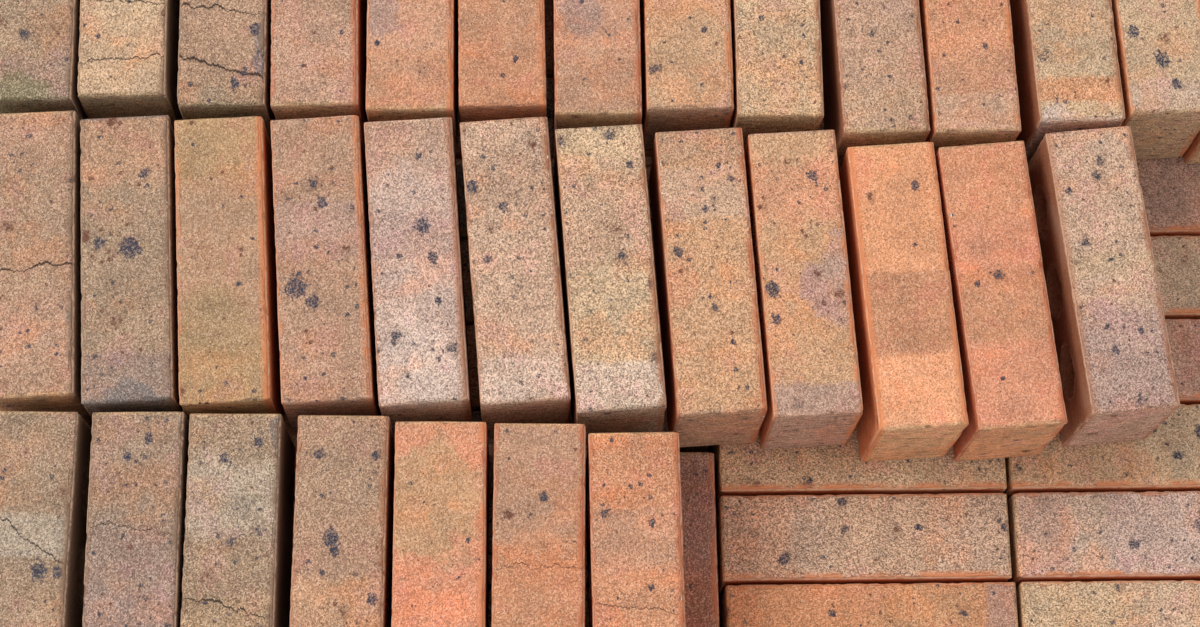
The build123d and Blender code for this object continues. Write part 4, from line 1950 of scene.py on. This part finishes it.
@dataclass(frozen=True)
class TimberPallet:
    """The block pallet: base boards, blocks, stringer boards and deck boards, nailed together."""

    kinds: tuple[Timber, ...] = (
        Timber("base_board", 3, 0.008, square=True),
        Timber("block", 9, 0.002, upright_corners=True, pitch=0.012),
        Timber("stringer_board", 3, 0.0015, along_y=True),
        Timber("deck_board", 7, 0.002),
    )
    tones: tuple[Tone, ...] = (Tone.PINE, Tone.SPRUCE, Tone.LARCH, Tone.SPRUCE)
    wear: Wear = Wear(0.0007, 0.02, 0.0028, 0.02, 0.007, 0.48)
    arris: float = 0.0012
    seed: int = 7
    nail_radius: float = 0.0045
    nail_height: float = 0.0011
    nail_sunk: float = 0.0003
    nail_jitter: float = 0.003
    nail_inset: float = 0.018
    nail_stagger: float = 1.25

    def build(self) -> None:
        """Saw and wear every board and block, then drive the nails."""
        draw = np.random.default_rng(self.seed)
        for kind in self.kinds:
            for number in range(1, kind.count + 1):
                self.saw(kind, number, draw)
        self.drive_nails("deck_nails", self.deck_places(), 1.0)
        self.drive_nails("base_nails", self.base_places(), -1.0)

    def saw(self, kind: Timber, number: int, draw: np.random.Generator) -> None:
        """Make one piece of timber in the place of its node.

        Args:
            kind: the kind of timber.
            number: its number among its kind.
            draw: the pallet's random numbers.
        """
        node = f"{kind.node_name}_{number}"
        low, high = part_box(node)
        middle, size = (low + high) / 2, high - low
        sizes = (size.y, size.x, size.z) if kind.along_y else tuple(size)
        forms = Forms(node + " form", [kind.skin(sizes).mesh(node + " form", self.arris)]).gather()
        split_place = draw.uniform(-0.3, 0.3) * sizes[1]
        split = (split_place, draw.uniform(-0.06, 0.06), draw.choice((0.4, 1.0, 1.4)))
        pith = (draw.uniform(-0.06, 0.06), draw.choice((-1, 1)) * draw.uniform(0.02, 0.09), 0.0)
        tone = self.tones[draw.integers(0, len(self.tones))]
        columns: Columns = {
            "turn": ("FLOAT", [math.pi / 2 if kind.along_y else 0.0]),
            "form": ("INT", [0]),
            "shift": ("FLOAT_VECTOR", [draw.uniform(0, 30, 3)]),
            "tone": ("FLOAT_COLOR", [linear(tone.value)]),
            "split": ("FLOAT_VECTOR", [split]),
            "pith": ("FLOAT_VECTOR", [pith]),
        }
        points = points_object(f"sawn_{node}", [tuple(middle)], columns)
        finishes = {"Skin Finish": SawnTimber().material(), "Cut Finish": SawnEnd().material()}
        piece = grown(points, LayingTree().tree(), {"Forms": forms, **self.wear.inputs(), **finishes})
        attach(piece, "root")
        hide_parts(node)
        disperse(forms)
        LOG.info("%s: %d faces", piece.name, len(piece.data.polygons))

    def crossing(self, low: Vector, high: Vector, count: int) -> list[Pair]:
        """Where the nails of one crossing of boards go.

        Args:
            low: the crossing's lowest corner.
            high: its highest corner.
            count: how many nails it has, up to four.

        Returns:
            The nails' places, near its corners but not in line.
        """
        a, b = self.nail_inset, self.nail_inset * self.nail_stagger
        left, right = (low.x + a, low.y + b), (high.x - a, high.y - b)
        return [left, right, (high.x - b, low.y + a), (low.x + b, high.y - a)][:count]

    def deck_places(self) -> list[Triple]:
        """Nails through every deck board into every stringer board.

        Returns:
            Where they are struck.
        """
        places = []
        for deck in range(1, 8):
            low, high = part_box(f"deck_board_{deck}")
            for stringer in range(1, 4):
                left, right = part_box(f"stringer_board_{stringer}")
                box = (Vector((left.x, low.y, 0)), Vector((right.x, high.y, 0)))
                places += [(x, y, high.z) for x, y in self.crossing(*box, 4)]
        return places

    def base_places(self) -> list[Triple]:
        """Nails up through every base board into its blocks.

        Returns:
            Where they are struck.
        """
        places = []
        for block in range(1, 10):
            low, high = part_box(f"block_{block}")
            places += [(x, y, 0.0) for x, y in self.crossing(low, high, 3)]
        return places

    def nail_sizes(self) -> dict[str, float]:
        """The numbers of the nail tree, by the names of its inputs."""
        return {"Head Radius": self.nail_radius, "Head Height": self.nail_height, "Jitter": self.nail_jitter}

    def nail_tree(self) -> bpy.types.NodeTree:
        """Build the tree that drives a crowned, slightly turned head at each point.

        Returns:
            The tree.
        """
        takes = [(label, FLOAT, size) for label, size in self.nail_sizes().items()]
        graph = started("Nail heads", [*takes, ("Finish", "NodeSocketMaterial", None)])
        given = graph.node("NodeGroupInput").outputs
        flat = graph.over(given["Head Height"], given["Head Radius"])
        ball = {"Segments": 14, "Rings": 7, "Radius": given["Head Radius"]}
        ball = graph.first("GeometryNodeMeshUVSphere", ball)
        head = {"Geometry": ball, "Scale": graph.joined(1.0, 1.0, flat)}
        head = graph.first("GeometryNodeTransform", head)
        spread = graph.joined(given["Jitter"], given["Jitter"], 0.0)
        off = {0: graph.scaled(spread, -1.0), 1: spread, "Seed": 5}
        off = graph.first("FunctionNodeRandomValue", off, data_type="FLOAT_VECTOR")
        moved = graph.first("GeometryNodeSetPosition", {"Geometry": given["Geometry"], "Offset": off})
        tilt = {0: (-0.05, -0.05, 0.0), 1: (0.05, 0.05, 3.0), "Seed": 9}
        tilt = graph.first("FunctionNodeRandomValue", tilt, data_type="FLOAT_VECTOR")
        turn = graph.first("FunctionNodeEulerToRotation", {0: tilt})
        made = {"Points": moved, "Instance": head, "Rotation": turn}
        made = graph.first("GeometryNodeInstanceOnPoints", made)
        made = graph.first("GeometryNodeRealizeInstances", {0: made})
        made = graph.first("GeometryNodeSetShadeSmooth", {0: made})
        made = graph.first("GeometryNodeSetMaterial", {"Geometry": made, "Material": given["Finish"]})
        graph.node("NodeGroupOutput", {0: made})
        return graph.tree

    def drive_nails(self, name: str, places: list[Triple], up: float) -> None:
        """Drive one side's nails.

        Args:
            name: the piece's name.
            places: where the board's face is struck.
            up: 1 for heads on top of a board, -1 for heads under it.
        """
        tree = bpy.data.node_groups.get("Nail heads") or self.nail_tree()
        sunk = self.nail_height + self.nail_sunk
        points = points_object(name, [(x, y, z - up * sunk) for x, y, z in places], {})
        piece = grown(points, tree, {**self.nail_sizes(), "Finish": NailSteel().material()})
        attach(piece, "root")
        LOG.info("%s: %d heads", name, len(places))


@dataclass(frozen=True)
class Studio:
    """The pale floor, the soft light and the camera of the picture."""

    camera_place: Triple = (-0.1038, -0.5980, 2.1342)
    lens: float = 69.6
    sensor: float = 36.0
    clips: Pair = (0.05, 50.0)
    tilt: float = 16.73
    roll: float = 5.24
    heading: float = -5.909
    key_from: Triple = (-0.72, 0.22, 0.90)
    key_aim: Triple = (0.0, 0.0, 0.4)
    key_distance: float = 5.0
    key_size: float = 2.2
    key_power: float = 118.0
    key_colour: Triple = (1.0, 0.975, 0.94)
    fill: float = 0.70
    backdrop: float = 0.9
    floor_half: float = 6.0

    def camera(self) -> None:
        """Set the camera above the front of the pack, as the picture was taken."""
        tilt, roll, heading = (math.radians(a) for a in (self.tilt, self.roll, self.heading))
        forward = Vector((0.0, math.sin(tilt), -math.cos(tilt)))
        right, up = Vector((1.0, 0.0, 0.0)), Vector((0.0, math.cos(tilt), math.sin(tilt)))
        rolled_right = math.cos(roll) * right + math.sin(roll) * up
        rolled_up = math.cos(roll) * up - math.sin(roll) * right
        axes = Matrix((rolled_right, rolled_up, -forward)).transposed()
        turned = (Matrix.Rotation(heading, 3, "Z") @ axes).to_4x4()
        data = bpy.data.cameras.new("picture camera")
        data.lens = self.lens
        data.sensor_width = self.sensor
        data.clip_start, data.clip_end = self.clips
        made = linked("picture camera", data)
        made.matrix_world = Matrix.Translation(self.camera_place) @ turned
        bpy.context.scene.camera = made

    def lights(self) -> None:
        """Light the pack from the far left with one large soft lamp, over an even fill."""
        data = bpy.data.lights.new("key", "AREA")
        data.shape = "DISK"
        data.size = self.key_size
        data.energy = self.key_power
        data.color = self.key_colour
        made = linked("key", data)
        way = Vector(self.key_from).normalized()
        made.location = Vector(self.key_aim) + way * self.key_distance
        made.rotation_euler = way.to_track_quat("Z", "Y").to_euler()
        world = bpy.data.worlds.new("studio")
        bpy.context.scene.world = world
        world.use_nodes = True
        world.node_tree.nodes.clear()
        graph = Graph(world.node_tree)
        rays = graph.node("ShaderNodeLightPath").outputs
        seen = graph.most(rays["Is Camera Ray"], rays["Is Glossy Ray"])
        strength = graph.line(seen, self.backdrop - self.fill, self.fill)
        white = {"Color": (1.0, 1.0, 1.0, 1.0), "Strength": strength}
        graph.node("ShaderNodeOutputWorld", {0: graph.first("ShaderNodeBackground", white)})

    def floor(self) -> None:
        """Lay the plain pale floor under the pallet."""
        half = self.floor_half
        mesh = bpy.data.meshes.new("studio_floor")
        corners = [(-half, -half, 0), (half, -half, 0), (half, half, 0), (-half, half, 0)]
        mesh.from_pydata(corners, [], [(0, 1, 2, 3)])
        material = bpy.data.materials.new("pale floor")
        material.use_nodes = True
        material.node_tree.nodes.clear()
        graph = Graph(material.node_tree)
        place = graph.node("ShaderNodeTexCoord").outputs["Object"]
        cloud = graph.place(Mottle(), Point=place, Size=0.6, Contrast=0.03)
        pale = {"Base Color": graph.scaled(Mark.PALE_FLOOR, cloud["Shade"]), "Roughness": 0.9}
        graph.node("ShaderNodeOutputMaterial", {0: graph.first("ShaderNodeBsdfPrincipled", pale)})
        mesh.materials.append(material)
        linked("studio_floor", mesh)

    def build(self) -> None:
        """Set up the camera, the lights and the floor."""
        self.camera()
        self.lights()
        self.floor()
        bpy.context.scene.view_settings.view_transform = "Standard"


def main() -> None:
    """Load the frame, then build the studio, the pack and the pallet."""
    logging.basicConfig(level=logging.INFO, format="%(message)s")
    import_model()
    Studio().build()
    BrickPack().build()
    TimberPallet().build()


if __name__ == "__main__":
    main()
